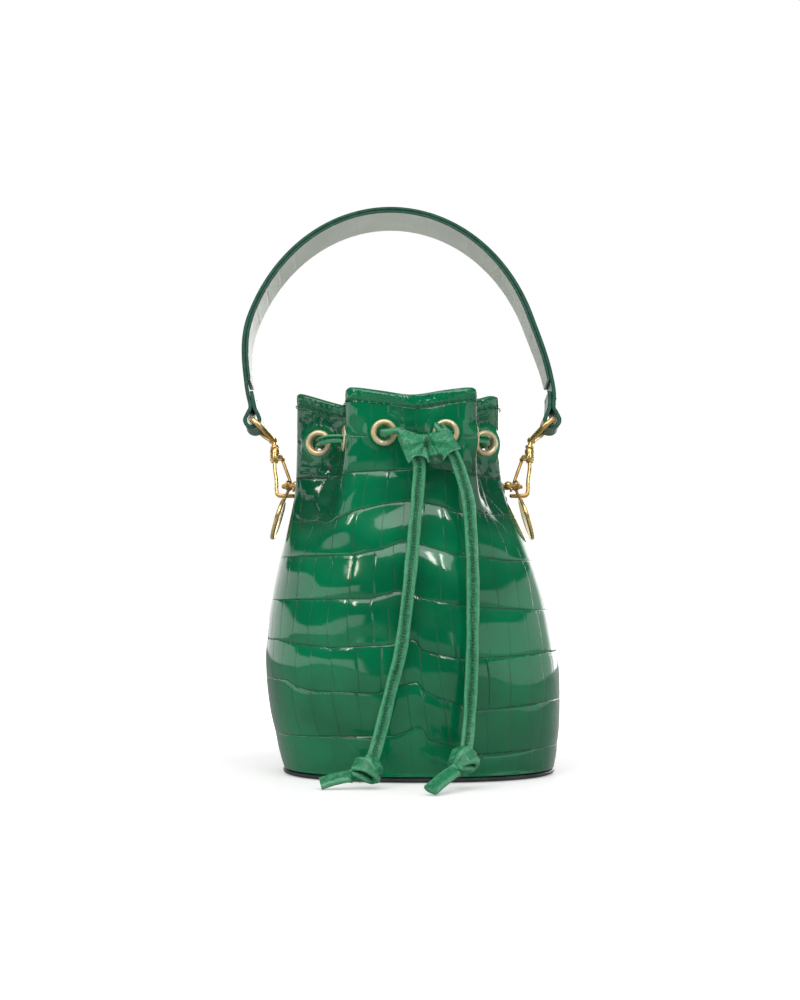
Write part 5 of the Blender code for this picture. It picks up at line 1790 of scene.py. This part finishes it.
def make_floor():
    mesh = bpy.data.meshes.new("floor")
    corners = [(x * FLOOR_HALF, y * FLOOR_HALF, FLOOR_LEVEL) for x, y in FLOOR_CORNERS]
    mesh.from_pydata(corners, [], [(0, 1, 2, 3)])
    floor = bpy.data.objects.new("floor", mesh)
    bpy.context.scene.collection.objects.link(floor)
    mesh.materials.append(floor_material())


def softbox(name, place, target, width, height, power, colour=(1, 1, 1)):
    data = bpy.data.lights.new(name, "AREA")
    data.shape = "RECTANGLE"
    data.size = width
    data.size_y = height
    data.energy = power
    data.color = colour
    light = bpy.data.objects.new(name, data)
    light.location = place
    light.rotation_euler = (Vector(target) - Vector(place)).to_track_quat("-Z", "Y").to_euler()
    bpy.context.scene.collection.objects.link(light)


def make_lights():
    target = (-0.008, 0, 0.09)
    softbox("softbox_top", (-0.1, -0.75, 1.20), target, 1.7, 1.0, 10.5)
    softbox("window_left", (-0.62, -0.86, 0.76), target, 0.07, 0.26, 0.7, (1.0, 0.92, 0.76))
    softbox("window_right", (0.34, -0.90, 0.78), target, 0.07, 0.26, 0.6, (1.0, 0.97, 0.92))
    make_world()
    bpy.context.scene.view_settings.view_transform = "Standard"


def make_world():
    """A studio with bright walls at the sides and behind, dark in front and towards the ceiling."""
    world = bpy.data.worlds.new("studio")
    bpy.context.scene.world = world
    world.use_nodes = True
    nodes = Nodes(world.node_tree)
    background = world.node_tree.nodes["Background"]
    split = nodes.outputs("SeparateXYZ", {0: nodes.outputs("TexCoord")["Generated"]})
    x, y, z = split["X"], split["Y"], split["Z"]
    level = nodes.math("SQRT", x ** 2.0 + y ** 2.0)
    ahead = nodes.math("DIVIDE", y * -1.0, level + 0.001)
    left = nodes.step(ahead, 0.90, 0.94, 0.95, 0.0) * nodes.step(z, 0.18, 0.22, 1.0, 0.0)
    right = nodes.step(ahead, 0.86, 0.91, 0.66, 0.0) * nodes.step(z, 0.26, 0.32, 1.0, 0.0)
    rear = nodes.step(ahead, -0.84, -0.60, 2.6, 0.0) * nodes.step(z, 0.40, 0.60, 1.0, 0.0)
    on_right = nodes.step(x, -0.05, 0.05)
    right = (right + rear) * on_right
    left = left * (1.0 - on_right)
    walls = left + right + nodes.step(z, 0.2, 1.0, 0.02, 0.22)
    ambient = nodes.step(z, -1.0, 1.0, 0.34, 0.60)
    path = nodes.outputs("LightPath")
    light = nodes.out(0, "Mix", {0: path["Is Diffuse Ray"], 2: walls, 3: ambient})
    light = nodes.out(0, "Mix", {0: path["Is Camera Ray"], 2: light, 3: 1.0})
    nodes.put(background.inputs["Color"], (1, 1, 1, 1))
    nodes.put(background.inputs["Strength"], light)


# ---------------------------------------------------------------- everything, in order

make_camera()
knot_left = make_knot("left", KNOT_LEFT, KNOT_LEFT_TIP, TAIL_LEFT_ROUTE[-1], 1, 11)
knot_right = make_knot("right", KNOT_RIGHT, KNOT_RIGHT_TIP, TAIL_RIGHT_ROUTE[-1], -1, 12)
make_tail("left", TAIL_LEFT_ROUTE, KNOT_LEFT, 21)
make_tail("right", TAIL_RIGHT_ROUTE, KNOT_RIGHT, 22)
leather_panel("front_leather", "front_panel", -0.25, front_pattern(), 5)
leather_panel("back_leather", "back_panel", 0.25, back_pattern(np.random.default_rng(8)), 6)
rim_stitches("rim_stitches_front", -0.25)
rim_stitches("rim_stitches_back", 0.25)
make_lining()
make_base()
make_eyelets()
make_drawstring()
make_slider()
make_handle()
for side in ("left", "right"):
    make_eye(side)
    make_hook(side)
    make_gate(side)
    make_ring(side)
    make_medallion(side)
    paint("anchor_" + side, INSIDE_GREEN)
paint("base_board", BOARD)
make_floor()
make_lights()
